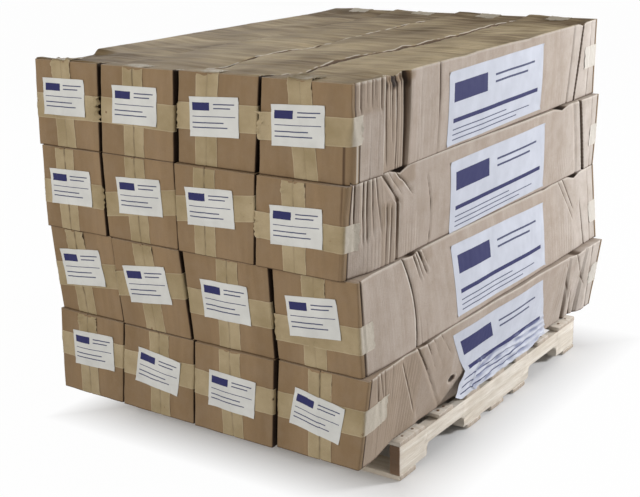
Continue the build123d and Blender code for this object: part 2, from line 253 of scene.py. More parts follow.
# Sharp creases: head, foot, bow, push at head and foot, width, and the heights it is seen between
RIGHT_CREASES = [
    [(53, 122, 0, -4, -1.6, 3.2, 0.4), (62, 132, 0, 1.8, 1, 4, 0.4), (74, 168, 0, -4.4, -1, 3.2, 0.5),
     (96, 155, 0, -3.6, -1, 3.2, 0.6), (140, 190, 0, -1.8, -1, 3.4, 0.5),
     (195, 344, 0, -4.4, -4, 3.6, 0.2, 0.93), (287, 487, 0, -4.6, -3, 3, 0.3),
     (338, 517, 0, -3.6, -1.6, 3.4, 0.6), (374, 564, 0, -3.6, -1.4, 3.4, 0.62),
     (417, 673, 0, -3.4, -1, 3.4, 0.66), (700, 690, 6, -1, 1, 22), (980, 990, -6, 1.5, -1, 26),
     (1350, 1392, 4, 2, 4, 9, 0, 0.55), (1345, 1436, 0, -1, -6, 4, 0, 0.42),
     (1374, 1570, 0, -5, -3, 3.6, 0.45), (1505, 1540, 0, -3, -5, 6),
     (1290, 1420, 0, -3, -3, 3.4, 0.3, 0.9)],
    [(24, 28, 0, -4.4, -3, 2.8), (31, 35, 0, 1.6, 1, 3), (250, 283, 25, -10, -9, 5.6),
     (240, 273, 25, 4, 2, 3.4), (314, 394, 0, -4.4, 0, 3.4, 0.7), (323, 405, 0, 3, 0, 3.4, 0.7),
     (332, 416, 0, -5.4, 0, 3.4, 0.72), (346, 462, 0, -8, 0, 3.8, 0.73), (356, 474, 0, 4, 0, 4, 0.74),
     (366, 489, 0, -4.6, 0, 3.4, 0.82), (317, 314, 0, 0, -2, 3, 0, 0.32),
     (351, 347, 0, 0, -1.6, 3, 0, 0.26), (391, 389, 0, 0, -1.2, 3, 0, 0.2), (640, 655, 5, 1, 1, 30),
     (1180, 1200, -8, -1.5, 1, 26), (1290, 1479, 0, -6.4, 0, 3.8, 0.45), (1310, 1492, 0, 3, 0, 5, 0.5),
     (1330, 1500, 0, -6.4, 0, 3.8, 0.58), (1445, 1493, 0, -3, -5.4, 3.8, 0, 0.62),
     (1540, 1548, 0, -2, -2, 5)],
    [(28, 38, 0, -5, -2.4, 3.4, 0.3), (46, 58, 0, 2.4, 1.4, 5, 0.3), (64, 74, 0, -5, -2, 3.2, 0.34),
     (82, 87, 0, -5.4, -2.6, 3.2, 0.36), (94, 102, 0, 2.4, 1.4, 5, 0.4),
     (105, 117, 0, -4.6, -1.6, 3.2, 0.4), (124, 165, 0, -4.4, -1.8, 3.2, 0.42),
     (150, 184, 0, 2, 1.2, 5, 0.4), (176, 170, 0, -4.8, -2.6, 3.2, 0, 0.66),
     (198, 192, 0, -4.8, -3.4, 3.2, 0, 0.62), (187, 181, 0, 2, 1.4, 4, 0, 0.64),
     (159, 397, 0, -6, 0, 3.6, 0.64), (190, 428, 0, -3, 0, 3.4, 0.72), (224, 480, 0, 4, 0, 4, 0.69),
     (232, 489, 0, -11, 0, 4.2, 0.69), (375, 411, 21, -4.4, -3, 3, 0, 0.8),
     (382, 418, 21, 1.6, 1, 5, 0, 0.8), (300, 300, 0, 0, -1.2, 4, 0, 0.5), (320, 322, 0, 0, 1, 4, 0, 0.5),
     (342, 344, 0, 0, -1.2, 4, 0, 0.5), (700, 680, -8, 1.2, 1, 30), (1080, 1100, 6, -1.4, -1, 24),
     (1540, 1556, 0, -2, -2, 6)],
    [(24, 4, 5, -2.2, 0, 3, 0.74), (44, 30, 4, -4.8, -1, 3.4, 0.70), (58, 50, 4, 2.0, 0, 7, 0.72),
     (70, 74, -3, -2.0, 0, 2.6, 0.78), (92, 104, -5, -3.6, -1, 3, 0.73),
     (103, 122, -5, -1.8, 0, 2.4, 0.80), (112, 128, -4, 2.2, 0, 6, 0.75),
     (131, 126, 3, -4.6, -1.4, 3.2, 0.68), (84, 84, 0, 0, -1.6, 2.6, 0, 0.60),
     (121, 118, 2, -0.6, -1.4, 2.4, 0.1, 0.64), (168, 160, 2, -3.6, -0.6, 3, 0.45),
     (179, 173, -2, -5.4, -2.8, 3.2, 0.1), (196, 185, 3, -3.2, -1.6, 2.4, 0.55),
     (211, 204, -3, -5, -1.0, 3.4, 0.3), (231, 221, 2, -5.6, -4.2, 3.2),
     (240, 233, -2, -1.6, -2.2, 2.2, 0, 0.72), (253, 244, 1, -3.2, -1.6, 3),
     (268, 263, 0, -4.5, -3.5, 2.8), (345, 330, 0, -1.2, -0.8, 3.4), (442, 445, 0, -4.4, -3, 3),
     (449, 452, 0, 1.6, 1.2, 4), (700, 712, 5, 1.2, 1.2, 30), (1040, 1020, 5, -1.4, 1, 26),
     (1262, 1250, 0, -2, 0, 5, 0.3), (1545, 1530, 0, -3, -2, 6)],
]
# Ripples low on a side, between two places: from, to, pitch, push, and the height where they end
RIPPLES = {3: [(300, 440, 17, 0.35, 0.7), (1200, 1340, 22, 0.3, 0.4)],
           2: [(255, 370, 15, 0.5, 0.42), (60, 190, 16, 0.35, 0.5), (1180, 1370, 16, 0.5, 0.45)],
           1: [(1180, 1420, 20, 0.4, 0.6)],
           0: [(60, 300, 15, 0.4, 1.0), (1200, 1330, 18, 0.5, 1.0)]}
# A finger-wide tear low in the lowest carton: place, height, half width and half height
TEAR = (0.534, 0.076, 0.019, 0.010)
# The creases of the left side, written the same way
LEFT_CREASES = [
    [(180, 205, 4, -4, -6, 9), (230, 214, 0, 3, 3, 12), (760, 700, 8, -2, -1, 9, 0.3),
     (1420, 1440, 0, -6, -4, 8)],
    [(96, 110, 0, -3, -2, 6), (300, 250, 8, -5, -4, 8), (820, 860, 0, -2, -3, 9, 0, 0.7),
     (1390, 1420, 0, -4, -6, 8)],
    [(60, 64, 0, -3, -1, 6), (150, 170, 0, 3, 2, 9), (260, 300, -10, -6, -3, 7),
     (1240, 1200, 0, -2, -3, 9)],
    [(120, 100, 0, -4, -2, 7), (330, 280, 10, -3, -6, 8), (640, 650, 0, 2, 1, 14),
     (1330, 1400, 0, -7, -4, 9)],
]
# How far the right side leans out at its foot and at its head, layer by layer, at these places:
# the middle of a loaded side bellies, its ends stay where they are
LEAN_KNOTS = [0.0, 0.06, 0.10, 0.20, 0.50, 1.13, 1.45, 1.598]
FOOT_LEAN = MM * np.array([[0, 0, 0, 0, 0, 0, 0, 0], [0, 3, 6, 6, 8, 5, 0, 0], [0, 8, 14, 14, 8, 8, 2, 0],
                           [0, 0, 0, 0, 0, 2, 0, 0]])
HEAD_LEAN = MM * np.array([[0, -5, -8, -14, -16, -12, -4, 0], [0, -6, -9, -11, -14, 0, 2, 0],
                           [0, 0, -2, -3, -6, -2, 0, 0], [0, 1, 1, 2, 5, 10, 6, 0]])


def tear_distance(s, height):
    """Squared distance from the middle of the tear, 1 on its rim."""
    place, middle, half_wide, half_tall = TEAR
    return ((s - place) / half_wide) ** 2 + ((height - middle) / half_tall) ** 2


def side_push(layer, right, s, t):
    """How far a long outer side stands out from its flat wall, in metres. Sum of a bulge
    sin(pi t), a lean between foot and head, washboard ripples that run down the board and are
    strongest near the ends, and the listed creases."""
    seed = 40 + 2 * layer + right
    near_ends = 0.25 + 0.9 * np.exp(-s / 0.24) + 0.7 * np.exp(-(CARTON_LENGTH - s) / 0.22)
    bulge = 0.004 * np.sin(math.pi * np.clip(t, 0, 1)) * np.sin(math.pi * np.clip(s / CARTON_LENGTH, 0, 1))
    push = bulge + 0.0008 * waves(s, t, seed, 0.34, 2.4)
    push = push + 0.00010 * near_ends * waves(s, t, seed + 100, 0.028, 1.6, 16)
    for fold in (RIGHT_CREASES if right else LEFT_CREASES)[layer]:
        push = push + crease(s, t, *fold)
    if right:
        foot, head = (np.interp(s, LEAN_KNOTS, lean[layer]) for lean in (FOOT_LEAN, HEAD_LEAN))
        push = push + mix(foot, head, t) + right_form(layer, s, t)
    return push


def right_form(layer, s, t):
    """The broad folds: straight runs between the listed places. Each run adds its rise times
    clip((s - start) / length, 0, 1), and start, length and rise are mixed between the foot and
    the head by t. Ripples are cosines inside a smooth window."""
    knots = np.array(RIGHT_FORMS[layer], float)
    bend_from, bend = FOLD_BEND[layer]
    at = s / MM + bend * np.maximum(0, t - bend_from) * (1 - ramp(s / MM, 300, 420))
    push = mix(knots[0, 3], knots[0, 2], t)
    for here, after in zip(knots, knots[1:]):
        start, stop = mix(here[1], here[0], t), mix(after[1], after[0], t)
        rise = mix(after[3] - here[3], after[2] - here[2], t)
        push = push + rise * np.clip((at - start) / (stop - start), 0, 1)
    if bend:
        push = push * (1 - 0.7 * ramp(t, bend_from, bend_from + 0.08) * between(s / MM, 100, 160, 300, 420))
    for start, stop, pitch, depth, top in RIPPLES[layer]:
        window = between(at, start, start + 25, stop - 25, stop) * (1 - ramp(t, top - 0.25, top + 0.1))
        push = push + depth * window * np.cos(2 * math.pi * (at - start) / pitch)
    if layer == TOP:
        # the upper part of the first panel is crushed in above a level crease
        level_at = 0.70 + 0.02 * np.sin(at / 24.0)
        push = push - 1.8 * ramp(t, level_at, level_at + 0.025) * (1 - ramp(at, 150, 172))
        push = push - 5 * ramp(t, 0.90, 0.95) * between(at, 176, 186, 255, 285)
    if layer == 0:
        push = push - 7 * np.exp(-tear_distance(s, t * CARTON_HEIGHT) ** 2)
    return MM * push


def right_marks(layer, s, t):
    """Painted shade and painted highlight along the folds of the right side: each valley crease has a
    dark line of painted shade, a bell curve across it, and a pale painted highlight on its front lip,
    both as strong as the crease is deep."""
    mark = 0.0
    for head, foot, bow, push_head, push_foot, width, *seen in RIGHT_CREASES[layer]:
        low, high = (seen + [0.0, 1.0][len(seen):])[:2]
        depth = -mix(push_foot, push_head, t) / 5.0
        d = across_fold(s, t, head, foot, bow, width)
        dark = np.clip(1.3 * depth - 0.2, 0, 1.5) * (bell(d, 0.8) - 0.45 * bell(d + 1.9, 0.9))
        mark = mark - 1.25 * dark * between(t, low - 0.04, low + 0.04, high - 0.04, high + 0.04)
    if layer == TOP:
        # painted shade on the crushed roof edge behind the first panel
        crushed = ramp(t, 0.80, 0.90) * between(s / MM, 160, 172, 272, 290)
        mark = mark - crushed * np.clip(0.7 + 0.8 * waves(s, t, 77, 0.035, 1.2), 0, 2.2)
    uneven = 0.75 + 0.4 * waves(s, t, 60 + layer, 0.09, 0.7)
    return mark * np.clip(uneven, 0.25, 1.4)


# Patches of the right side that get less painted light, as painted shade on facets turned away from
# the lamp, so they stay browner: from, to, low, high, and how brown
SHADED_PATCHES = [[(0, 520, 0.0, 1.1, 0.22), (0, 320, 0, 1.1, 0.24)],
         [(0, 30, 0.0, 1.1, 0.3), (255, 420, 0.85, 1.1, 0.2)],
         [(0, 200, 0.45, 1.1, 0.2), (150, 240, 0.0, 0.66, 0.3), (215, 330, 0.8, 1.1, 0.4)],
         [(0, 146, 0.68, 1.1, 0.4), (148, 280, 0.0, 1.1, 0.42), (160, 300, 0.9, 1.1, 0.5)]]


def side_light(layer, s, t):
    """How much painted light makes the right side pale instead of brown, 1 being all of it: less inside
    the patches of painted shade.
    """
    fade = 1.0
    for start, stop, low, high, amount in SHADED_PATCHES[layer]:
        inside = between(s / MM, start - 8, start + 4, stop - 6, stop + 10)
        fade = fade - amount * inside * between(t, low - 0.03, low + 0.03, high, high + 0.05)
    return np.clip(fade, 0, 1)


print("creases on the right side", sum(len(layer) for layer in RIGHT_CREASES))

# %% [markdown]
# The roofs of the top layer sag between their stiff ends and carry folds straight across the
# carton, because the flutes of the board run that way. The roof edges are also dented where the
# carton above leans on them, which opens the dark gaps between the layers.

# %% Roofs and roof edges
ROOF_CREASES = [
    [(150, 190, 0, -3, -2, 8), (420, 380, 8, 3, 2, 12), (700, 760, 0, -4, -3, 10),
     (1080, 1030, 0, 3, 2, 14), (1330, 1390, 0, -6, -5, 10), (1500, 1480, 0, -3, -4, 8)],
    [(112, 96, 0, -2, -3, 8), (520, 560, 0, 2.5, 2, 14), (640, 610, -6, -3, -2, 9),
     (930, 980, 0, -2, -3, 10), (1290, 1340, 0, -7, -4, 10), (1440, 1420, 0, 3, 3, 10)],
    [(90, 120, 0, -3, -2, 7), (250, 230, 0, 2.5, 2, 10), (610, 640, 5, -3.5, -3, 9),
     (800, 790, 0, -2.5, -2, 10), (1010, 1050, 0, 2, 2, 12), (1350, 1310, 0, -6, -6, 9)],
    [(172, 165, 0, -4, -2, 9), (330, 290, 0, -3, -3, 9), (500, 520, 0, 2.5, 2, 14),
     (730, 722, 0, -6, -2, 8), (1000, 1040, 0, -2, -2, 9), (1352, 1338, 0, -6, -5, 9),
     (1395, 1420, 0, 4, 3, 10)],
]
# Dents in the right roof edge of each layer: where, how wide and how deep, in millimetres
EDGE_DENTS = [[(330, 60, 5), (1380, 50, 6)], [(310, 46, 7), (1424, 40, 13), (1180, 40, 4)],
              [(250, 40, 14), (1292, 40, 11)], [(226, 44, 12), (1452, 24, 8), (590, 50, 3), (1010, 80, 3)]]


def roof_push(col, s, u):
    """How far a top carton's roof stands over its flat wall at s behind the front and u across.
    Sum of the sag between stiff ends, slow waves, ripples across the carton and the folds."""
    sag = np.interp(s, [0.0, 0.03, 0.1, 0.24, 0.42, 1.40, 1.52, 1.58], [0, 0.05, 0.6, 0.62, 1, 1, 0.8, 0])
    middle = np.sin(math.pi * np.clip(u, 0, 1))
    push = -ROOF_SAG[col] * sag * (1.15 - 0.3 * middle) + 0.0013 * waves(s, u, 300 + col, 0.30, 1.6)
    rough = 0.0012 * waves(s, u, 360 + col, 0.11, 1.5) + 0.0006 * waves(s, u, 320 + col, 0.045, 1.3, 16)
    rough = rough + 0.0002 * waves(s, u, 340 + col, 0.018, 1.2, 16)
    from_edge = np.minimum(u, 1 - u)
    push = push + rough * (0.4 + 0.6 * ramp(s, 0.0, 0.1)) * (0.35 + 0.65 * ramp(from_edge, 0.0, 0.18))
    for fold in ROOF_CREASES[col]:
        push = push + crease(s, u, *fold)
    for line, distance in ((col, u), (col + 1, 1 - u)):
        push = push - 0.33 * np.interp(s, DRIFT_AT, DRIFT[line]) * np.exp(-np.clip(distance, 0, 1) / 0.3)
    push = push + ROOF_TILT * (0.42 - u) * ramp(s, 1.42, 1.56)
    if col == LAST:
        push = push * (1 - ramp(u, 0.80, 1.0))
    if col == 0:
        # the left edge is sunk as far as the inner flaps reach, and stands up again behind them
        behind = ramp(s, 0.235, 0.262)
        edge = ramp(1 - u, 0.55, 1.0)
        push = push * (1 - 0.8 * edge * behind) - 0.008 * edge * ramp(s, 0.02, 0.08) * (1 - behind)
    return push


# How worn the roof edges beside each column line are
SEAM_WORN = [0, 0.9, 3.0, 2.6, 0]
# How much painted light each column's roof gets beside the mean
ROOF_LIT = [0.72, 0.80, 1.0, 1.22]


def roof_light(col, s, u):
    """How much painted light a roof gets, 0.02 to 1: more where the light falls, less near the front and
    the rear, in streaks across the carton.
    """
    broad = np.interp(s, [0, 0.12, 0.3, 0.6, 1.0, 1.36, 1.44, 1.6],
                      [0.26, 0.26, 0.52, 0.58, 0.50, 0.46, 0.20, 0.16]) * ROOF_LIT[col]
    streak = 0.09 * waves(s, u, 380 + col, 0.06, 2.0, 14) + 0.06 * waves(s, u, 390 + col, 0.020, 1.6, 14)
    streak = streak * (0.4 + 0.6 * ramp(s, 0.08, 0.2))
    return np.clip(broad + streak + 0.10 * waves(s, u, 395 + col, 0.4, 0.9), 0.02, 1.0)


def edge_dent(layer, s):
    """How far the right roof edge of a layer is pressed down: a sum of wedges with straight sides,
    depth * (1 - distance / half length), blunted a little by a power."""
    drop = 0.0
    for place, width, depth in EDGE_DENTS[layer]:
        drop = drop + MM * depth * np.clip(1 - np.abs(s / MM - place) / (1.5 * width), 0, 1) ** 1.2
    return drop


# %% [markdown]
# Every piece is put into Blender the same way: whole arrays of points and faces go into a mesh
# with foreach_set, which is fast and needs no loop over vertices. Float attributes go with the
# points, and the materials read them. On board, "flute" counts metres across the flutes, "fold" is
# positive where a highlight is painted on ridges and edges, some of which are worn, and negative
# where shade is painted in valleys, gaps and joints, and the mark of the right side and "top" say
# how much painted light makes the right side and the roofs paler.

# %% Mesh helpers
def fill(data, name, values, kind=np.float32):
    """Sets one property of all items of Blender data from an array."""
    data.foreach_set(name, np.ascontiguousarray(values, dtype=kind).ravel())


def add_piece(name, points, faces, marks, sharp, uv=None):
    """New object from points (n, 3) and faces, a list of index arrays (count, corners). Edges
    with a sharper angle than sharp, in degrees, aren't smoothed."""
    mesh = bpy.data.meshes.new(name)
    mesh.vertices.add(len(points))
    fill(mesh.vertices, "co", points)
    corners = np.concatenate([face.ravel() for face in faces])
    sizes = np.concatenate([np.full(len(face), face.shape[1]) for face in faces])
    mesh.loops.add(len(corners))
    fill(mesh.loops, "vertex_index", corners, np.int32)
    mesh.polygons.add(len(sizes))
    fill(mesh.polygons, "loop_start", np.cumsum(sizes) - sizes, np.int32)
    mesh.update(calc_edges=True)
    if uv is not None:
        fill(mesh.uv_layers.new(name="UVMap").data, "uv", uv[corners])
    for mark, values in marks.items():
        fill(mesh.attributes.new(mark, "FLOAT", "POINT").data, "value", values)
    mesh.shade_smooth()
    mesh.set_sharp_from_angle(angle=math.radians(sharp))
    piece = bpy.data.objects.new(name, mesh)
    bpy.context.scene.collection.objects.link(piece)
    return piece


def grid_faces(rows, cols, wrap=False, flip=False, first=0):
    """Quads of a grid of points numbered row by row, closed round the columns if wrap."""
    i = np.arange(rows - 1)[:, None]
    j = np.arange(cols if wrap else cols - 1)[None, :]
    k = (j + 1) % cols
    quads = np.stack([i * cols + j, i * cols + k, (i + 1) * cols + k, (i + 1) * cols + j], axis=-1)
    quads = quads.reshape(-1, 4) + first
    return quads[:, ::-1] if flip else quads


def joined(parts):
    """Several (points, faces, marks) shapes as one, with the face numbers moved along."""
    points, faces, marks, first = [], [], {}, 0
    for shape, cells, values in parts:
        points.append(shape)
        faces += [cell + first for cell in cells]
        for mark, value in values.items():
            marks.setdefault(mark, []).append(np.ravel(value))
        first += len(shape)
    return np.concatenate(points), faces, {mark: np.concatenate(value) for mark, value in marks.items()}


def normals(grid):
    """Unit normals of a grid of points: the cross product of its two directions."""
    across = np.gradient(grid, axis=1)
    up = np.gradient(grid, axis=0)
    n = np.cross(across, up)
    return n / np.maximum(np.linalg.norm(n, axis=-1, keepdims=True), 1e-12)


def rim_of(rows, cols):
    """Quads that join the edge of a grid to the edge of a second one, numbered after it."""
    count = rows * cols
    number = np.arange(count).reshape(rows, cols)
    ring = np.concatenate([number[0, :-1], number[:-1, -1], number[-1, :0:-1], number[:0:-1, 0]])
    after = np.roll(ring, -1)
    return np.stack([ring, ring + count, after + count, after], axis=-1)


def paper(grid, thickness):
    """A thin closed sheet: the grid, the same grid moved back along its normals, and a rim."""
    rows, cols = grid.shape[:2]
    back = grid - normals(grid) * thickness
    points = np.concatenate([grid.reshape(-1, 3), back.reshape(-1, 3)])
    faces = [grid_faces(rows, cols), grid_faces(rows, cols, flip=True, first=rows * cols), rim_of(rows, cols)]
    return points, faces


# %% [markdown]
# A carton's ends are closed by two outer flaps that meet in a seam down the middle. Tapes and
# labels lie on the same surface and run on round the corners, so one function gives the point for
# all of them: q goes along the girth, from the left side over the end to the right side, t goes up,
# and lift stands off along the normal. The real corners are folds of a few millimetres, but some
# on the right are crushed wide at the foot, so the radius of a corner changes with its height.

# %% The surface of a carton end
# Crushed corners by (layer, column): radius at the foot and at the head, and the heights between
CRUSHED = {(3, 3): (0.024, 0.005, 0.42, 0.66), (2, 3): (0.010, 0.014, 0.2, 0.9), (1, 3): (0.006, 0.006, 0, 1)}
FOLD_RADIUS = 0.005
# What the noise of an end takes for its height
NOISE_TALL = 0.26
# How far the seam of each front end stands from the middle of the end, at its foot and its head
SEAM_FOOT = MM * np.array([[-18, -1, -4, -1], [-5, 14, -1, -2], [-20, -5, -38, -17], [-14, -15, -43, 3]])
SEAM_HEAD = MM * np.array([[-6, 13, -5, 9], [-37, -22, -1, -4], [-22, -11, -27, -12], [-14, 0, -22, -10]])


def corner_radius(layer, col, front, right, t):
    """Radius of a corner fold: the radii at its foot and its head, joined by a smooth step."""
    if not (front and right and (layer, col) in CRUSHED):
        return FOLD_RADIUS + 0 * t
    foot, head, low, high = CRUSHED[layer, col]
    return mix(foot, head, ramp(t, low, high))


def end_middle_q(layer, col, front, t):
    """Distance from the left edge of an end to the middle of its seam, t of the way up."""
    s = end_s(layer, col, front)
    lean = 1.0 if front else 0.3
    middle = (column_x(layer, col + 1, s, 0.5) + column_x(layer, col, s, 0.5)) / 2
    shift = mix(SEAM_FOOT[layer][col], SEAM_HEAD[layer][col], t)
    return middle + lean * shift - wall_x(layer, col, False, s, t)


def end_push(layer, col, front, q, t):
    """How far the end stands out from its plane, in metres: a pillow bulge, slow waves, flap edges
    that lift towards the seam, and a groove where they meet."""
    seed = 500 + 16 * layer + 4 * col + (0 if front else 2)
    rng = np.random.default_rng(seed)
    bulge, lift, turn = rng.uniform(0.001, 0.0045), rng.uniform(0.0005, 0.0025), rng.uniform(-1, 1)
    seam = q - end_middle_q(layer, col, front, t)
    shape = np.sin(math.pi * np.clip(t, 0.0, 1.0)) ** 0.7 * np.clip(1 - (seam / 0.16) ** 2, 0, 1)
    push = bulge * shape + 0.0006 * waves(q, t * NOISE_TALL, seed + 1, 0.13, 0.13)
    push = push + lift * np.exp(-np.abs(seam) / 0.03) * (1 + 0.6 * turn * np.sign(seam)) * (0.4 + 0.6 * t)
    return push - 0.0016 * bell(seam, 0.0022)


def end_point(layer, col, front, q, t, lift=0.0):
    """Points on the outside of a carton end. For q from 0 to the width the point is on the end;
    beyond that it is round the corner, on a side. Each corner is a quarter circle whose angle
    grows from 0 to 90 degrees as q crosses it."""
    out = -1.0 if front else 1.0
    end = end_s(layer, col, front)
    q, t = np.broadcast_arrays(np.asarray(q, float), np.asarray(t, float))
    width = end_width(layer, col, front, t)
    right = q > width / 2
    inward = np.where(right, width - q, q)
    radii = [corner_radius(layer, col, front, side, t) for side in (True, False)]
    radius = np.where(right, *radii)
    angle = np.clip((inward + radius) / (2 * radius), 0, 1) * math.pi / 2
    from_edge = radius * (1 - np.cos(angle)) + np.maximum(0, inward - radius)
    behind = radius * (1 - np.sin(angle)) + np.maximum(0, -inward - radius)
    s = end - out * behind
    edge_left, edge_right = (wall_x(layer, col, side, s, t) for side in (False, True))
    sideways = np.where(right, 1, -1) * np.cos(angle)
    outwards = out * np.sin(angle)
    side = np.zeros_like(s)
    if col == 0:
        side = np.where(right, side, side_push(layer, False, s, t))
    if col == LAST:
        side = np.where(right, side_push(layer, True, s, t), side)
    push = lift + np.cos(angle) ** 2 * side + np.sin(angle) ** 2 * end_push(layer, col, front, q, t)
    x = np.where(right, edge_right - from_edge, edge_left + from_edge) + sideways * push
    y = FRONT_Y + s + outwards * push
    z = mix(joint_z(layer, s), joint_z(layer + 1, s), t)
    return np.stack([x, y, z], axis=-1)


def end_width(layer, col, front, t):
    """Width of an end between the two side walls, t of the way up."""
    s = end_s(layer, col, front)
    return wall_x(layer, col, True, s, t) - wall_x(layer, col, False, s, t)


print("a front end is", round(float(end_width(0, 0, True, 0.5)), 3), "m wide")

# %% [markdown]
# A flap is a plate of board four millimetres thick. Its face is a fine grid, and its back needs
# only one strip, because nobody sees it. It starts a little way round the corner, like the real
# flap that is folded over from the side wall, and ends at the seam.

# %% Flaps
# How far a flap runs on along the side wall behind its corner
FLAP_RETURN = 0.008
# The liner of a flap is less streaked: its flutes count as this much less
FLAP_STREAK = 0.3
# Half of the slit between two flaps
SEAM_GAP = 0.0014


def flap(layer, col, front, right, step):
    """(points, faces, marks) of one outer flap, as points rows by cols over its face and one more
    row each behind its foot and its head."""
    rows, flat = int(round(CARTON_HEIGHT / step)), int(round(0.13 / step))
    edges = np.array([0.004, 0.009, 0.017])
    t = np.concatenate([edges, np.linspace(0.032, 0.968, rows - 6), 1 - edges[::-1]])[:, None]
    radius = corner_radius(layer, col, front, right, t)
    width = end_width(layer, col, front, t)
    near = -radius - FLAP_RETURN + np.linspace(0, 1, 8)[None, :] * (2 * radius + FLAP_RETURN)
    if right:
        near = width - near
    far = end_middle_q(layer, col, front, t) + (SEAM_GAP if right else -SEAM_GAP)
    q = np.concatenate([near, mix(near[:, -1:], far, np.linspace(0, 1, flat + 1)[None, 1:])], axis=1)
    face = end_point(layer, col, front, q, t)
    back = end_point(layer, col, front, q, t, lift=-BOARD)
    cols = q.shape[1]
    count = rows * cols
    points = np.concatenate([face.reshape(-1, 3), back[0], back[-1]])
    j = np.arange(cols - 1)
    low, high, last_row = count + j, count + cols + j, (rows - 1) * cols + j
    first = np.arange(rows) * cols
    quads = [grid_faces(rows, cols), np.stack([low + 1, low, high, high + 1], axis=-1),
             np.stack([j + 1, j, low, low + 1], axis=-1),
             np.stack([last_row, last_row + 1, high + 1, high], axis=-1),
             np.concatenate([first[::-1], [count, count + cols]])[None, :],
             np.concatenate([first + cols - 1, [count + 2 * cols - 1, count + cols - 1]])[None, :]]
    if front == right:
        quads = [quad[:, ::-1] for quad in quads]
    height = np.concatenate([(t + 0 * q).ravel(), np.zeros(cols), np.ones(cols)])
    # painted highlight along the top and bottom edges, painted shadow along the foot where the flap meets the
    # layer below
    fold = 0.5 * np.exp(-np.minimum(height, 1 - height) / 0.008) - 2.7 * bell(height, 0.010)
    inward = (width - q) if right else q
    # painted highlight and painted shade on a crushed corner, and painted shade where the flap turns into the
    # gap beside another column
    crushed = np.clip(radius / 0.012 - 0.6, 0, 1)
    lines = crushed * (1.1 * bell(inward + radius, 0.002) - 1.6 * bell(inward - radius, 0.002))
    if col < LAST if right else col > 0:
        lines = lines - 2.8 * ramp(-inward, -0.0012, 0.0016)
    fold = fold + np.concatenate([lines.ravel(), lines[0], lines[-1]])
    flute = FLAP_STREAK * np.concatenate([q.ravel(), q[0], q[-1]])
    return points, quads, {"flute": flute, "fold": fold, "faded": 0 * fold, "top": 0 * fold}


# %% [markdown]
# The body of a carton is one closed tube: an outline with rounded corners, carried along the
# carton through a few hundred stations. Outer walls get many points so that their creases are real
# shape, hidden walls get few. At both ends the side walls step in by the thickness of the board,
# where the flaps lie over them.

# %% Carton bodies
def outline(side_left, floor, side_right, roof):
    """Unit outline, counter-clockwise seen from the front: base place (a, b) in the unit square,
    how it moves with the corner radius, and the normal. The counts are points on each wall, and
    each corner adds three."""
    base, slide, facing = [], [], []
    corners = np.array([(0, 0), (1, 0), (1, 1), (0, 1), (0, 0)], float)
    for number, count in enumerate((floor, side_right, roof, side_left)):
        start, end = corners[number], corners[number + 1]
        share = np.linspace(0, 1, count)[:, None]
        base.append(mix(start, end, share))
        slide.append((end - start) * (1 - 2 * share))
        facing.append(np.tile([end[1] - start[1], start[0] - end[0]], (count, 1)))
        angle = np.radians(90 * number - 90 + np.array([22.5, 45, 67.5]))
        normal = np.stack([np.cos(angle), np.sin(angle)], axis=-1)
        base.append(np.tile(end, (3, 1)))
        slide.append(1 - 2 * end + normal)
        facing.append(normal)
    return np.concatenate(base), np.concatenate(slide), np.concatenate(facing)


def end_recess(distance, radius):
    """How far a side wall has stepped in, that far from the end: the quarter circle of the corner,
    and the board's thickness under the flap."""
    d = np.clip(distance, 0, radius)
    arc = radius - np.sqrt(radius ** 2 - (radius - d) ** 2)
    return arc + BOARD * (1 - ramp(distance, radius + FLAP_RETURN - 0.001, radius + FLAP_RETURN + 0.0005))


# The outline is drawn in by this much at each end of a carton, on a quarter circle
LIP = 0.003
# How far the tube of a carton stops short of its flaps, and stands over the joint below it
END_INSET = 1.15 * BOARD
JOINT_GAP = 0.0003
# A fold that bends this much per metre is marked to three quarters
MARKED_BEND = 320.0
# The steps along a carton are fine before the first place and behind the second
FINE_TO, FINE_FROM = 0.36, 1.28


def stations(first, last, fine, step):
    """Places along a carton where its outline is set, and how far it is drawn in there: a quarter
    circle at either end, then close, fine, coarse and fine steps."""
    turn = np.radians([0, 30, 60, 90])
    rounded = LIP * (1 - np.cos(turn))
    close = np.array([0.0045, 0.0065, 0.0085, 0.0105])
    joints = [first + 0.012, FINE_TO, FINE_FROM, last - 0.012]
    runs = [np.linspace(a, b, int(round((b - a) / h)), endpoint=False)
            for a, b, h in zip(joints, joints[1:], [fine, step, fine])]
    s = np.concatenate([first + rounded, first + close, *runs, joints[-1:],
                        last - close[::-1], last - rounded[::-1]])
    shrink = np.zeros_like(s)
    shrink[:4] = LIP * (1 - np.sin(turn))
    shrink[-4:] = shrink[3::-1]
    return s, shrink


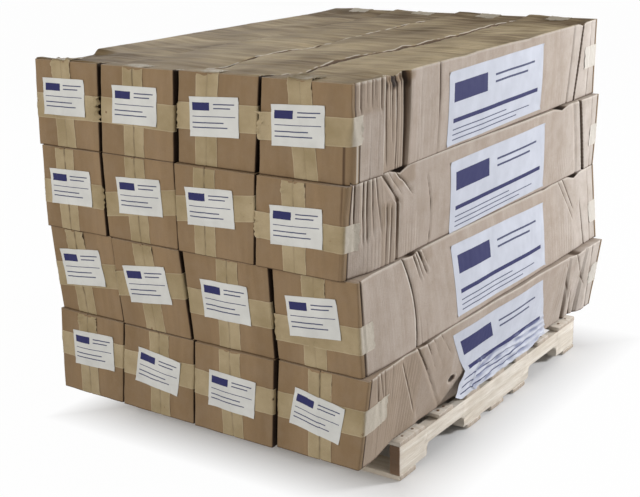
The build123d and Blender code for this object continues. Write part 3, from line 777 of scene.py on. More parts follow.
def body(layer, col, step, walls):
    """(points, faces, marks) of the closed tube of one carton."""
    ends = [end_s(layer, col, front) for front in (True, False)]
    fine = min(step, 0.0026) if col == LAST and step < 0.01 else step
    s, shrink = stations(ends[0] + END_INSET, ends[1] - END_INSET, fine, step)
    base, slide, facing = outline(*walls)
    low, high = joint_z(layer, s) + JOINT_GAP, joint_z(layer + 1, s)
    tall = high - low
    soft = 0.0026 + 0.0014 * between(s, 0.02, 0.2, 1.42, 1.57)
    a = base[None, :, 0] + slide[None, :, 0] * (soft / COLUMN_PITCH)[:, None]
    b = base[None, :, 1] + slide[None, :, 1] * (soft / tall)[:, None]
    na, nb = facing[None, :, 0], facing[None, :, 1]
    span = s[:, None]
    left, right = (wall_x(layer, col, side, span, b) for side in (False, True))
    out_left = side_push(layer, False, span, b) if col == 0 else 0.0 * b
    out_right = side_push(layer, True, span, b) if col == LAST else 0.0 * b
    roof = roof_push(col, span, a) if layer == TOP else 0.0 * b
    x = mix(left - out_left, right + out_right, a)
    z = low[:, None] + tall[:, None] * b + roof * ramp(b, 0.75, 1.0)
    shape = np.where(na > 0, out_right, np.where(na < 0, out_left, roof))
    to_ends = [(s - ends[0])[:, None], (ends[1] - s)[:, None]]
    push = -shrink[:, None] + 0.0 * x
    for distance, front in zip(to_ends, (True, False)):
        steps_in = [end_recess(distance, corner_radius(layer, col, front, side, b)) for side in (True, False)]
        push = push - np.where(na > 0, *steps_in) * na ** 2
    x = x + na * push
    z = z + nb * push
    if col == LAST:
        z = z - edge_dent(layer, span) * ramp(b, 0.80, 1.0) * ramp(a, 0.72, 1.0)
    rows, cols = x.shape
    ring = np.arange(cols)
    points = np.stack([x, FRONT_Y + span + 0 * x, z], axis=-1).reshape(-1, 3)
    faces = [grid_faces(rows, cols, wrap=True), ring[::-1][None, :], (ring + (rows - 1) * cols)[None, :]]
    top = (nb > 0.5) * (layer == TOP) * roof_light(col, span, a)
    # painted light: the right side and the right roof edge are drawn paler for the sheen of the lamp at the
    # rear right, palest towards the rear, and the patches of painted shade stay browner
    lit_share = side_light(layer, span, b) + 0.28 * ramp(span, 1.15, 1.55)
    faded = ((na > 0) | (a > 0.97)) * lit_share * (col == LAST) * (1 - np.clip(top * 10, 0, 1))
    fold = board_marks(layer, col, s, a, b, na, nb, shape, to_ends)
    marks = {"flute": span + 0 * x, "fold": fold, "faded": faded, "top": top}
    return points, [face[:, ::-1] for face in faces], marks


def crease_marks(push, s):
    """Painted highlight and wear on the ridges of a fold, painted shade in its valleys: minus the second
    derivative of the push along the carton, so ridges are positive and valleys negative, squeezed
    between -1 and 1."""
    slope = np.gradient(push, s, axis=0)
    bend = np.gradient(slope, s, axis=0)
    return np.tanh(-bend / MARKED_BEND)


def board_marks(layer, col, s, a, b, na, nb, shape, to_ends):
    """The "fold" mark of a carton's walls: mostly painted shade and painted highlight, with pale wear on
    roof edges beside a gap. Most terms are bell curves across a line: the foot and the head of the
    right side, the cut edge of each flap, a roof edge beside a gap, the tear."""
    span = s[:, None]
    fold = crease_marks(shape, s) * np.where(nb > 0.5, 0.5 * ramp(span, 0.10, 0.2), 1.0)
    if col == LAST:
        # painted shade on the walls of folds that turn to the front, away from the lamp
        steep = np.gradient(shape, s, axis=0)
        marks = right_marks(layer, span, b) - 1.4 * np.clip((steep - 0.45) / 1.3, 0, 1)
        # painted shadow along the foot of the right side, painted highlight along its top edge
        fold = fold + (na > 0) * (marks - 1.8 * bell(b, 0.012) + 0.8 * bell(1 - b, 0.018))
    for distance, front in zip(to_ends, (True, False)):
        for side, corner in ((na > 0, True), (na < 0, False)):
            # painted shade along the step where the flap's return ends on the side wall
            edge = distance - corner_radius(layer, col, front, corner, b) - FLAP_RETURN
            fold = fold - side * 2.2 * bell(edge - 0.0015, 0.0035)
    # nothing lights the walls between two columns, and the roof edges beside a gap are worn pale
    inner = ((na > 0) & (col < LAST)) | ((na < 0) & (col > 0))
    dark = 3.0 - 1.9 * ramp(span, 0.03, 0.10) * (b > 0.95) * (layer == TOP)
    fold = fold - inner * (nb < 0.9) * dark * bell(nb - 0.1, 0.35)
    if layer == TOP:
        worn = np.clip(1.0 + 0.8 * waves(span, a, 400 + col, 0.10, 3.0), 0.0, 2.2)
        worn = worn * np.where(na + (a - 0.5) > 0, SEAM_WORN[col + 1], SEAM_WORN[col])
        fold = fold + (inner & (nb > 0.5)) * worn * bell(nb - 0.85, 0.22)
    elif col == LAST:
        # painted shade on the roof edge where it is dented and the gap between the layers opens
        dented = np.clip(edge_dent(layer, span) / (6 * MM) - 0.4, 0, 1)
        fold = fold - ((nb > 0.9) & (a > 0.5)) * 2.6 * dented
    if layer == 0 and col == LAST:
        # painted shade inside the tear, and a pale rim round it
        off = tear_distance(span, b * CARTON_HEIGHT)
        fold = fold + (na > 0) * (0.8 * bell(off - 1.6, 1) - 4 * bell(off, 1))
    return fold


def walls_of(layer, col):
    """Point counts of the left, floor, right and roof walls: fine where they show."""
    return (22 if col == 0 else 4, 4, 42 if col == LAST else 4, 28 if layer == TOP else 4)


cartons = []
for layer in range(LAYERS):
    for col in range(COLUMNS):
        shows = layer == TOP or col in (0, LAST)
        step = 0.0055 if col == LAST else (0.006 if layer == TOP else 0.012)
        parts = [body(layer, col, step if shows else 0.05, walls_of(layer, col))]
        for front in (True, False):
            for right in (False, True):
                parts.append(flap(layer, col, front, right, 0.007 if front else 0.011))
        tag = f"layer{layer + 1}_col{col + 1}"
        points, faces, marks = joined(parts)
        piece = add_piece(f"board_{tag}", points, faces, marks=marks, sharp=50)
        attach(piece, "root")
        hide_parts(f"carton_{tag}")
        cartons.append(piece)
print("cartons", len(cartons), "quads", sum(len(c.data.polygons) for c in cartons))

# %% [markdown]
# Paper tape closes each end: one strip up the seam, and one across it that wraps onto both sides.
# A strip is a grid laid on the surface of the end and lifted by its thickness, then given a back
# and a rim so that it is a real sheet. Its cut ends are torn, so their edge wanders.

# %% Seam tapes
# Width of the tape, how far it runs back over a roof, its thickness, and the bend at a roof edge
TAPE_WIDTH = 0.075
TAPE_WRAP = 0.066
PAPER = 0.0004
TOP_RADIUS = 0.005
# How far the strips stand off the board, so that the upper ones clear the lower ones
SEAM_LIFT, CROSS_LIFT = 0.0008, 0.0009
# Strips whose upper end is crumpled: (layer, column) and by how much, in metres
CRUMPLED = {(3, 0): 0.0035, (3, 3): 0.003, (2, 3): 0.004, (1, 1): 0.003, (1, 3): 0.003, (0, 0): 0.004,
            (1, 0): 0.004}
# How dark the painted shade of the seam is on each front strip, layer by layer
SEAM_LINE = [[0.9, 0.8, 0.8, 0.8], [0.8, 0.2, 0.8, 0.2], [1.0, 0.9, 0.9, 0.3], [0.35, 1.0, 0.25, 0.2]]


def seam_point(layer, col, front, q, p, lift):
    """Points of the seam strip, p metres above the upper edge of the end: below 0 on the end, then
    round the edge on a quarter circle, then back along the roof."""
    out = -1.0 if front else 1.0
    angle = np.clip((p + TOP_RADIUS) / (2 * TOP_RADIUS), 0, 1) * math.pi / 2
    below = TOP_RADIUS * (1 - np.sin(angle)) + np.maximum(0, -p - TOP_RADIUS)
    back = TOP_RADIUS * (1 - np.cos(angle)) + np.maximum(0, p - TOP_RADIUS)
    on_end = end_point(layer, col, front, q, np.clip(1 - below / CARTON_HEIGHT, 0, 1), lift)
    s = end_s(layer, col, front) - out * back
    roof = roof_push(col, s, q / end_width(layer, col, front, 1.0)) if layer == TOP else 0.0
    y = FRONT_Y + s + out * np.cos(angle) * lift
    z = joint_z(layer + 1, s) - below + (roof + lift) * np.sin(angle)
    over = np.stack([on_end[..., 0], y, z], axis=-1)
    return mix(on_end, over, ramp(p, -2 * TOP_RADIUS, -TOP_RADIUS)[..., None])


def curled_edge(v, run, seed, size):
    """The long edges of a strip lift a little here and there."""
    share = np.clip(0.5 + 0.5 * waves(run, 0 * run, seed, size, 1.0), 0, 1.5)
    return 0.0004 * ramp(np.abs(v), 0.9, 1.0) * share


def seam_tape(layer, col, front):
    """(grid, line, across, faded) of the strip down a seam, v going across it and run up it."""
    rng = np.random.default_rng(900 + 16 * layer + 4 * col + front)
    v = np.array([-1, -0.92, -0.7, -0.4, -0.15, -0.05, 0, 0.05, 0.15, 0.4, 0.7, 0.92, 1])[None, :]
    run = np.linspace(0, 1, 56)[:, None]
    torn = 0.0022 * waves(v, 0 * v, 950 + col + 4 * layer, 0.35, 1.0)
    top = TAPE_WRAP + torn if layer == TOP else -0.0035 + 0 * v
    p = mix(0.003 - CARTON_HEIGHT, top, run)
    t = np.clip(1 + p / CARTON_HEIGHT, 0, 1)
    half = TAPE_WIDTH / 2 * (1 + 0.006 * waves(run, 0 * run, 960 + col, 0.2, 1.0))
    q = end_middle_q(layer, col, front, t) + v * half + rng.uniform(-0.002, 0.002)
    crush = CRUMPLED.get((layer, col), 0.0006) if front else 0.0008
    crumple = np.abs(waves(q, p, 990 + 4 * layer + col, 0.045, 0.03))
    fold = 0.00030 * waves(q, p, 970 + 4 * layer + col, 0.03, 0.06)
    fold = fold + crush * crumple * ramp(t, 0.72, 1.0) * ramp(np.abs(v), 0.1, 1.0)
    grid = seam_point(layer, col, front, q, p, SEAM_LIFT + fold + curled_edge(v, run, 980 + col, 0.1))
    shows = SEAM_LINE[layer][col] if front else 0.5
    on_roof = ramp(p, -0.002, 0.008)
    uneven = np.clip(0.8 + 0.3 * waves(run, 0 * run, 985, 0.3, 1), 0.3, 1)
    # painted shade down the seam, and darker where a front strip lies on a roof; a rear strip gets painted
    # light where it lies on a roof
    line = shows * bell(v * TAPE_WIDTH / 2, 0.0015) * uneven + 0.30 * on_roof * front
    return grid, line, v + 0 * p, 0.7 * on_roof * (1 - front)


TAPE_MARKS = ("line", "across", "faded")


def lay_tape(name, strips):
    """One piece for the strips of a node. strips are (grid, line, across, faded, front), and those
    whose normals don't look out of their end are turned round."""
    parts = []
    for *values, front in strips:
        if (normals(values[0])[..., 1].mean() > 0) == front:
            values = [value[:, ::-1] for value in values]
        marks = {mark: np.tile(value.ravel(), 2) for mark, value in zip(TAPE_MARKS, values[1:])}
        parts.append((*paper(values[0], PAPER), marks))
    points, faces, marks = joined(parts)
    piece = add_piece(name, points, faces, marks=marks, sharp=60)
    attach(piece, "root")
    return piece


tapes = []
for layer in range(LAYERS):
    for front in (True, False):
        where = "front" if front else "rear"
        strips = [seam_tape(layer, col, front) + (front,) for col in range(COLUMNS)]
        piece = lay_tape(f"{where}_seam_strips_{layer + 1}", strips)
        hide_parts(f"{where}_seam_tape_layer{layer + 1}")
        tapes.append(piece)
print("seam strips", len(tapes) * COLUMNS)

# %% Cross tapes
# Where each strip crosses the middle of its end, as a share of the height, and how it slopes
CROSS_SHARE = np.array([[.58, .56, .54, .52], [.48, .54, .47, .38],
                        [.46, .47, .56, .46], [.48, .49, .54, .52]])
CROSS_SLOPE = np.array([[0.0, .02, -.02, .02], [.10, .12, .02, .03],
                        [.02, .15, .13, -.03], [.02, -.02, .03, .02]])
# How far the strips reach along the right side, front then rear, layer by layer, along the left
# side, and into the gaps between columns
RIGHT_WRAP = [(0.125, 0.070), (0.062, 0.066), (0.060, 0.066), (0.045, 0.120)]
LEFT_WRAP = 0.062
INNER_WRAP = 0.012
# Strips torn at a gap between columns: how far the left and the right end stand out, in metres
TORN_ENDS = {(3, 3): (0.007, 0), (3, 2): (0.003, 0), (3, 0): (0, 0.005), (2, 3): (0.005, 0),
             (1, 3): (0.003, 0), (2, 0): (0, 0.002), (1, 1): (0.003, 0)}


def cross_tape(layer, col, front):
    """(grid, line, across, faded) of the strip across an end and round its corners, v going across
    the strip and run along it. It steps out over the seam strip under it."""
    seed = 1100 + 16 * layer + 4 * col + front
    rng = np.random.default_rng(seed)
    width = end_width(layer, col, front, 0.5)
    right_wrap = RIGHT_WRAP[layer][0 if front else 1] if col == LAST else INNER_WRAP
    left_wrap = LEFT_WRAP + rng.uniform(-0.012, 0.02) if col == 0 else INNER_WRAP
    v = np.linspace(-1, 1, 11)[:, None]
    run = np.linspace(0, 1, 76)[None, :]
    cut_left, cut_right, ragged = (0.003 * waves(v, 0 * v, seed + number, size, 1.0)
                                   for number, size in ((1, 0.4), (2, 0.4), (7, 0.35)))
    torn_left, torn_right = TORN_ENDS.get((layer, col), (0, 0)) if front else (0, 0)
    start = -left_wrap + cut_left * (col == 0) + (0.010 + ragged) * (torn_left > 0)
    stop = width + right_wrap + cut_right * (col == LAST) - (0.010 + ragged) * (torn_right > 0)
    q = mix(start, stop, run)
    slope = CROSS_SLOPE[layer][col] * (1 if front else 0.3)
    t = CROSS_SHARE[layer][col] + slope * (q / width - 0.5) + v * TAPE_WIDTH / 2 / CARTON_HEIGHT
    over = ramp(TAPE_WIDTH / 2 + 0.003 - np.abs(q - end_middle_q(layer, col, front, t)), 0, 0.004)
    torn = torn_left * ramp(0.030 - q, 0, 0.022) + torn_right * ramp(q - width + 0.030, 0, 0.022)
    fold = 0.00035 * waves(q, t * NOISE_TALL, seed + 3, 0.05, 0.03)
    fold = fold + torn * (0.35 + 0.65 * np.abs(waves(q, t * NOISE_TALL, seed + 6, 0.02, 0.022)))
    ends = ramp(run, 0.98, 1.0) + ramp(1 - run, 0.98, 1.0)
    free = (q < -0.01) * (col == 0) + (q > width + 0.01) * (col == LAST)
    curl = 0.0008 * ends * np.abs(1 + waves(v, 0 * v, seed + 5, 0.5, 1.0)) * free
    lift = CROSS_LIFT + 0.0007 * over + fold + curled_edge(v, run, seed + 4, 0.08) + curl
    # painted light: the strip is drawn paler where it wraps onto the right side, more at the rear
    faded = ramp(q - width, 0.0, 0.008) * (col == LAST) * (1.0 if front else 1.25)
    return end_point(layer, col, front, q, t, lift), 0 * q, v + 0 * q, faded


for layer in range(LAYERS):
    for front in (True, False):
        where = "front" if front else "rear"
        strips = [cross_tape(layer, col, front) + (front,) for col in range(COLUMNS)]
        piece = lay_tape(f"{where}_cross_strips_{layer + 1}", strips)
        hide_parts(f"{where}_cross_tape_layer{layer + 1}")
        tapes.append(piece)
print("strips of tape", len(tapes) * COLUMNS)

# %% [markdown]
# Labels are white paper. The small ones sit on the crossing of the tapes and lean a little each
# their own way. Their UV map runs from 0 to 1 across the sheet, so that the printed bars can be
# drawn by the material, on every sheet in the same place.

# %% Front labels
LABEL_WIDE, LABEL_TALL = 0.167, 0.110
# How each label is turned, in degrees, and where its middle stands from the middle of its end
LABEL_TURN = np.radians([[2, -6, -2, -9], [6, 7, 1, 6], [2, 3, 3, 3], [1, 1, 3, 3]])
LABEL_SHIFT = MM * np.array([[12, 2, -1, -6], [-9, -8, -7, -7], [-5, 2, -12, -7], [-8, -5, -5, -20]])
LABEL_RISE = MM * np.array([[20, 8, 3, -1], [17, 9, 7, 14], [9, 13, 17, 4], [23, 21, 11, 12]])
LABEL_PAPER = 0.0003


def front_label(layer, col):
    """(grid, u, v, shade) of one small label: a turned rectangle laid on the end, lifted where it
    crosses the tapes, its corners curling up."""
    u = np.linspace(-0.5, 0.5, 43)[None, :]
    v = np.linspace(-0.5, 0.5, 29)[:, None]
    turn = LABEL_TURN[layer][col]
    across, up = u * LABEL_WIDE, v * LABEL_TALL
    q = end_width(layer, col, True, 0.5) / 2 + LABEL_SHIFT[layer][col]
    q = q + across * math.cos(turn) - up * math.sin(turn)
    t = 0.5 + (LABEL_RISE[layer][col] + across * math.sin(turn) + up * math.cos(turn)) / CARTON_HEIGHT
    middle = end_middle_q(layer, col, True, t)
    over_seam = ramp(TAPE_WIDTH / 2 + 0.004 - np.abs(q - middle), 0, 0.005)
    cross = CROSS_SHARE[layer][col] + CROSS_SLOPE[layer][col] * (q / 0.27 - 0.5)
    over_cross = ramp(TAPE_WIDTH / 2 + 0.004 - np.abs(t - cross) * CARTON_HEIGHT, 0, 0.005)
    curl = 0.0022 * np.maximum(0, np.abs(u) + np.abs(v) - 0.86) / 0.14
    wrinkle = 0.0001 * waves(across, up, 1300 + 4 * layer + col, 0.02, 0.04)
    lift = 0.0016 + 0.0009 * over_seam + 0.0013 * over_cross + curl + wrinkle
    return end_point(layer, col, True, q, t, lift), u + 0.5 + 0 * v, v + 0.5 + 0 * u, 0 * q


def lay_labels(name, grids):
    """One piece for several sheets, with a UV map across each."""
    parts, uv = [], []
    for grid, u, v, shade in grids:
        points, faces = paper(grid, LABEL_PAPER)
        parts.append((points, faces, {"shade": np.tile(shade.ravel(), 2)}))
        flat = np.stack([np.ravel(u), np.ravel(v)], axis=-1)
        uv += [flat, flat]
    points, faces, marks = joined(parts)
    piece = add_piece(name, points, faces, uv=np.concatenate(uv), marks=marks, sharp=60)
    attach(piece, "root")
    return piece


labels = []
for layer in range(LAYERS):
    piece = lay_labels(f"end_labels_{layer + 1}", [front_label(layer, col) for col in range(COLUMNS)])
    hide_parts(f"front_label_layer{layer + 1}")
    labels.append(piece)
print("small labels", len(labels) * COLUMNS)

# %% [markdown]
# The big labels run along the right side and take on every ripple of the board under them. The
# lowest one has slipped and come loose: its lower band is wrinkled and hangs out over the deck.

# %% Side labels
SIDE_LABEL_LONG, SIDE_LABEL_TALL = 0.626, 0.213
SIDE_LABEL_START = 0.510
# How far each label stands behind its regular place and above the middle of the side, its turn
SIDE_LABEL_SHIFT = MM * np.array([-15, 13, 19, -14])
SIDE_LABEL_RISE = MM * np.array([-6, -7, -17, -11])
SIDE_LABEL_TURN = np.radians([-0.7, -0.3, 1.2, 0.9])


def side_point(layer, s, h, lift):
    """A point on the right side of a layer, s behind the front line, h above the layer's floor."""
    low = joint_z(layer, s)
    t = h / (joint_z(layer + 1, s) - low)
    x = wall_x(layer, LAST, True, s, t) + side_push(layer, True, s, t) + lift
    return np.stack([x, FRONT_Y + s + 0 * h, low + h], axis=-1)


def side_label(layer):
    """(grid, u, v, shade) of one big label: a slightly turned rectangle, its corners curling up."""
    run = np.linspace(0, 1, 170)[None, :]
    up = np.linspace(0, 1, 40)[:, None]
    turn = SIDE_LABEL_TURN[layer]
    above = SIDE_LABEL_TALL * (up - 0.5)
    s = SIDE_LABEL_START + SIDE_LABEL_SHIFT[layer] + SIDE_LABEL_LONG * run - math.sin(turn) * above
    h = CARTON_HEIGHT / 2 + SIDE_LABEL_RISE[layer] + above + math.sin(turn) * SIDE_LABEL_LONG * (run - 0.5)
    lift = 0.0008 + 0.00012 * waves(s, h, 1400 + layer, 0.05, 0.03)
    curl = 0.003 * np.maximum(0, np.abs(run - 0.5) + np.abs(up - 0.5) * 0.34 - 0.655) / 0.015
    return side_point(layer, s, h, lift + np.clip(curl, 0, 0.006)), run + 0 * up, up + 0 * run, 0 * s


# The lowest one has slipped and come loose. By height over the floor: where its front and rear
# edges stand, and how far it hangs out
LOOSE_AT = MM * np.array([7, 26, 50, 77, 127, 193, 231])
LOOSE_FRONT = MM * np.array([546, 512, 556, 606, 563, 519, 496])
LOOSE_REAR = MM * np.array([1196, 1192, 1186, 1178, 1158, 1125, 1112])
LOOSE_OUT = MM * np.array([31, 22, 11, 2.5, 0, 0, 0])


def loose_label():
    """The lowest label: its height runs from 7 to 231 mm, its two edges and how far it hangs out
    are read from the lists, and its lower band is folded in sines of the height, whose phase
    wanders along the sheet, drawn to sharp crests. Its front corner is pulled out into a curl."""
    run = np.linspace(0, 1, 170)[None, :]
    up = np.linspace(0, 1, 62)[:, None]
    h = mix(LOOSE_AT[0], LOOSE_AT[-1], up) + 0 * run
    s = mix(np.interp(h, LOOSE_AT, LOOSE_FRONT), np.interp(h, LOOSE_AT, LOOSE_REAR), run)
    loose = ramp(MM * 92 - h, 0, MM * 22)
    folded = ramp(run, 0.13, 0.19)
    phase = h / 0.021 + 0.30 * waves(s, h, 1410, 0.45, 0.30) + 1.2 * run
    crests = 1 - 2 * np.abs(np.sin(math.pi * phase)) ** 0.7
    folds = 0.0036 * crests * folded * (0.7 + 0.3 * waves(s, h, 1413, 0.12, 0.06))
    folds = folds + 0.0008 * waves(s, h, 1411, 0.11, 0.022)
    ridge = 0.005 * bell(run - 0.155 - 0.1 * up, 0.010)
    corner = 0.007 * bell(run, 0.05) * bell(h - 0.026, 0.018)
    out = np.interp(h, LOOSE_AT, LOOSE_OUT) * (1 - 0.45 * ramp(run, 0.7, 1.0))
    lift = 0.0009 + 0.00012 * waves(s, h, 1400, 0.05, 0.03) + out + loose * (0.0036 + folds + ridge) + corner
    h = h + 0.0016 * waves(run, 0 * run, 1412, 0.12, 1.0) * (1 - up) ** 6
    shade = 0.9 * ramp(-crests, 0.1, 0.95) * folded + 0.5 * bell(run - 0.165 - 0.1 * up, 0.008)
    shade = loose * shade * np.clip(0.75 + 0.5 * waves(s, h, 1414, 0.08, 0.03), 0, 1.3)
    return side_point(0, s, h, lift), run + 0 * up, up + 0 * run, shade


for layer in range(LAYERS):
    grids = [side_label(layer) if layer else loose_label()]
    piece = lay_labels(f"side_sheet_{layer + 1}", grids)
    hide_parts(f"side_label_layer{layer + 1}")
    labels.append(piece)
print("labels in all", len(labels), "pieces")

# %% [markdown]
# The pallet is rough-sawn softwood: boards with worn, rounded edges and a slight cup, on three
# stringers that have two notches each for forks. A board is an outline carried along its length,
# with two nail heads over each stringer. A stringer is a curve for its lower edge, drawn upwards.

# %% Pallet boards
NAIL_RADIUS = 0.0045
# Rings of a nail head, from its top down into the wood: share of the radius, and height
NAIL_RINGS = [(0.6, 0.0006), (1.0, 0.0001), (1.0, -0.003)]
SIDES = ("left", "middle", "right")
STRINGER_X = [np.mean(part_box(f"stringer_{side}"), axis=0)[0] for side in SIDES]


def nail_heads(low, high, upper):
    """Two nail heads over each stringer: low domes of eight sides, closed underneath. Those of the
    deck look up, those of the bottom boards look down."""
    number = np.arange(8)
    turn = number * math.pi / 4
    after = (number + 1) % 8
    sides = [np.stack([number + n, number + n + 8, after + n + 8, after + n], axis=-1) for n in (0, 8)]
    faces = [number[None, :], *sides, (number + 16)[::-1][None, :]]
    if not upper:
        faces = [face[:, ::-1] for face in faces]
    face_z, up = (high[2], 1.0) if upper else (low[2] + 0.0005, -1.0)
    blank = np.zeros(8 * len(NAIL_RINGS))
    heads = []
    for x in STRINGER_X:
        for share in (0.27, 0.73):
            y = mix(low[1], high[1], share) + 0.004 * math.sin(90 * x + 7 * share)
            rings = [np.stack([x + r * NAIL_RADIUS * np.cos(turn), y + r * NAIL_RADIUS * np.sin(turn),
                               face_z + up * z + 0 * turn], axis=-1) for r, z in NAIL_RINGS]
            heads.append((np.concatenate(rings), faces, {"end": blank, "u": blank, "v": blank}))
    return heads


def sawn_board(name, low, high, seed):
    """A board along X as a closed tube: an outline with rounded edges carried along its length,
    each wall moved by waves that stand for saw marks, cup and wear."""
    low, high = np.array(low), np.array(high)
    span, wide, thick = high - low
    radius = min(0.003, thick / 4)
    half = np.array([wide, thick]) / 2
    angle = np.radians([-90, -60, -30, 0, 0, 30, 60, 90, 90, 120, 150, 180, 180, 210, 240, 270])
    side = np.repeat([[1, -1], [1, 1], [-1, 1], [-1, -1]], 4, axis=0)
    profile = side * (half - radius) + radius * np.stack([np.cos(angle), np.sin(angle)], axis=-1)
    ring = []
    for a, b in zip(profile, np.roll(profile, -1, axis=0)):
        steps = max(1, int(wide / 0.012)) if np.linalg.norm(b - a) > 0.02 else 1
        ring.append(mix(a, b, np.linspace(0, 1, steps, endpoint=False)[:, None]))
    ring = np.concatenate(ring)
    middle = np.linspace(0.003, span - 0.003, int(span / 0.02))
    run = np.concatenate([[0, 0.0012], middle, [span - 0.0012, span]])
    shrink = np.interp(np.minimum(run, span - run), [0, 0.0012, 0.003], [0.0025, 0.0008, 0])
    section = ring[None, :, :] * (1 - shrink[:, None, None] / half)
    run, across, up = run[:, None], ring[None, :, 0], ring[None, :, 1]
    cup = 0.0008 * waves(run, across, seed, 0.5, 0.2) - 0.0008
    rough = 0.0003 * waves(run, across + up, seed + 1, 0.12, 0.012)
    x = section[..., 0]
    y = section[..., 1] + np.clip(cup + rough, -0.0022, 0.0) * up / half[1]
    centre = (low + high) / 2
    grid = np.stack([low[0] + run + 0 * x, centre[1] + x, centre[2] + y], axis=-1)
    rows, cols = x.shape
    number = np.arange(cols)
    faces = [grid_faces(rows, cols, wrap=True), number[::-1][None, :], (number + (rows - 1) * cols)[None, :]]
    marks = {"end": np.minimum(run, span - run) + 0.002 + 0 * x, "u": run + seed * 1.7 + 0 * x,
             "v": x + 0.37 * seed}
    solid = (grid.reshape(-1, 3), [face[:, ::-1] for face in faces], marks)
    points, faces, marks = joined([solid] + nail_heads(low, high, name.startswith("deck")))
    uv = np.stack([marks.pop("u"), marks.pop("v")], axis=-1)
    piece = add_piece(name, points, faces, uv=uv, marks=marks, sharp=60)
    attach(piece, "root")
    return piece


wood = []
for kind, count, first_seed in (("deck_board", 7, 40), ("bottom_board", 5, 0)):
    for number in range(1, count + 1):
        low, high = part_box(f"{kind}_{number}")
        piece = sawn_board(f"{kind}_wood_{number}", low, high, 7 * number + first_seed)
        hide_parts(f"{kind}_{number}")
        wood.append(piece)
print("boards", len(wood))

# %% Stringers
NOTCH_FROM_END, NOTCH_LONG, NOTCH_DEEP, NOTCH_ROUND = 0.152, 0.229, 0.040, 0.022


def notch(start):
    """The lower edge of a stringer along one notch: up a wall, round its upper corner by a quarter
    circle, and the same mirrored."""
    turn = np.radians(np.linspace(180, 90, 7))
    y, z = start + NOTCH_ROUND * (1 + np.cos(turn)), NOTCH_DEEP - NOTCH_ROUND * (1 - np.sin(turn))
    y = np.concatenate([[start - 0.0005], y, 2 * start + NOTCH_LONG - y[::-1], [start + NOTCH_LONG + 0.0005]])
    return np.stack([y, np.concatenate([[0], z, z[::-1], [0]])], axis=-1)


def stringer(name, low, high, seed):
    """A board on edge with two notches cut up into its lower edge. The lower edge is a curve:
    at height 0, and at the notch depth between the notch's walls, with rounded upper corners."""
    low, high = np.array(low), np.array(high)
    thick, span, tall = high - low
    foot, last = [np.zeros((1, 2))], 0.0
    for start in (NOTCH_FROM_END, span - NOTCH_FROM_END - NOTCH_LONG):
        cut = notch(start)
        steps = np.linspace(last, cut[0, 0], 9)[1:-1]
        foot += [np.stack([steps, 0 * steps], axis=-1), cut]
        last = cut[-1, 0]
    steps = np.linspace(last, span, 9)[1:]
    foot = np.concatenate(foot + [np.stack([steps, 0 * steps], axis=-1)])
    share = np.linspace(0, 1, 9)[None, :]
    y = foot[:, 0:1] + 0 * share
    z = mix(foot[:, 1:2], tall, share)
    edge = np.minimum(np.minimum(share, 1 - share) * tall, np.minimum(y, span - y))
    swell = thick / 2 - 0.0025 * (1 - np.clip(edge / 0.006, 0, 1)) ** 2
    swell = swell - np.clip(0.0005 + 0.0004 * waves(y, z, seed, 0.14, 0.012), 0, 0.0015)
    middle = (low[0] + high[0]) / 2
    walls = [np.stack([middle + out * swell, low[1] + y, low[2] + z], axis=-1) for out in (1, -1)]
    rows, cols = y.shape
    faces = [grid_faces(rows, cols), grid_faces(rows, cols, flip=True, first=rows * cols),
             np.roll(rim_of(rows, cols)[:, ::-1], -1, axis=1)]
    points = np.concatenate(walls).reshape(-1, 3)
    uv = np.tile(np.stack([y + seed, z + 0.31 * seed], axis=-1).reshape(-1, 2), (2, 1))
    ends = np.tile(np.minimum(y, span - y).ravel(), 2)
    piece = add_piece(name, points, faces, uv=uv, marks={"end": ends}, sharp=60)
    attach(piece, "root")
    return piece


for number, side in enumerate(SIDES):
    low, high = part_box(f"stringer_{side}")
    piece = stringer(f"stringer_wood_{side}", low, high, 3 + number)
    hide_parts(f"stringer_{side}")
    wood.append(piece)
print("wooden pieces", len(wood))

# %% [markdown]
# Now the finishes. Each is made of nodes only. A small helper adds a node, sets its values, and
# links what is given as another node's output.

# %% Material helpers
def add(tree, kind, values=None, **settings):
    """A node of this kind, with its settings, and its inputs set or linked by name or number."""
    node = tree.nodes.new(kind)
    for name, value in settings.items():
        setattr(node, name, value)
    for name, value in (values or {}).items():
        if isinstance(value, bpy.types.NodeSocket):
            tree.links.new(value, node.inputs[name])
        else:
            node.inputs[name].default_value = value
    return node


def new_finish(name, roughness, specular):
    """A new material with its node tree and its surface node."""
    finish = bpy.data.materials.new(name)
    finish.use_nodes = True
    tree = finish.node_tree
    surface = tree.nodes["Principled BSDF"]
    surface.inputs["Roughness"].default_value = roughness
    surface.inputs["Specular IOR Level"].default_value = specular
    return finish, tree, surface


def spots(tree, vector, scale, detail, rough=0.55):
    """Grey noise from 0 to 1 at so many spots a metre."""
    values = {"Vector": vector, "Scale": scale, "Detail": detail, "Roughness": rough}
    return add(tree, "ShaderNodeTexNoise", values).outputs["Fac"]


def level(tree, value, start, end, to_start=0.0, to_end=1.0):
    """Map Range, which turns start..end into to_start..to_end and stops there."""
    return add(tree, "ShaderNodeMapRange", {0: value, 1: start, 2: end, 3: to_start, 4: to_end}).outputs[0]


def sums(tree, kind, a, b=0.0):
    """The result of one step of arithmetic."""
    return add(tree, "ShaderNodeMath", {0: a, 1: b}, operation=kind).outputs[0]


def srgb(r, g, b):
    """A display colour from 0 to 255 as the linear colour that nodes take."""
    c = np.array([r, g, b]) / 255
    c = np.where(c <= 0.04045, c / 12.92, ((c + 0.055) / 1.055) ** 2.4)
    return (*[float(v) for v in c], 1.0)


def blend(tree, share, a, b):
    """Colour a where share is 0, b where it is 1. A colour is an output or three numbers to 255."""
    a, b = (srgb(*colour) if isinstance(colour, tuple) else colour for colour in (a, b))
    return add(tree, "ShaderNodeMix", {0: share, 6: a, 7: b}, data_type="RGBA").outputs[2]


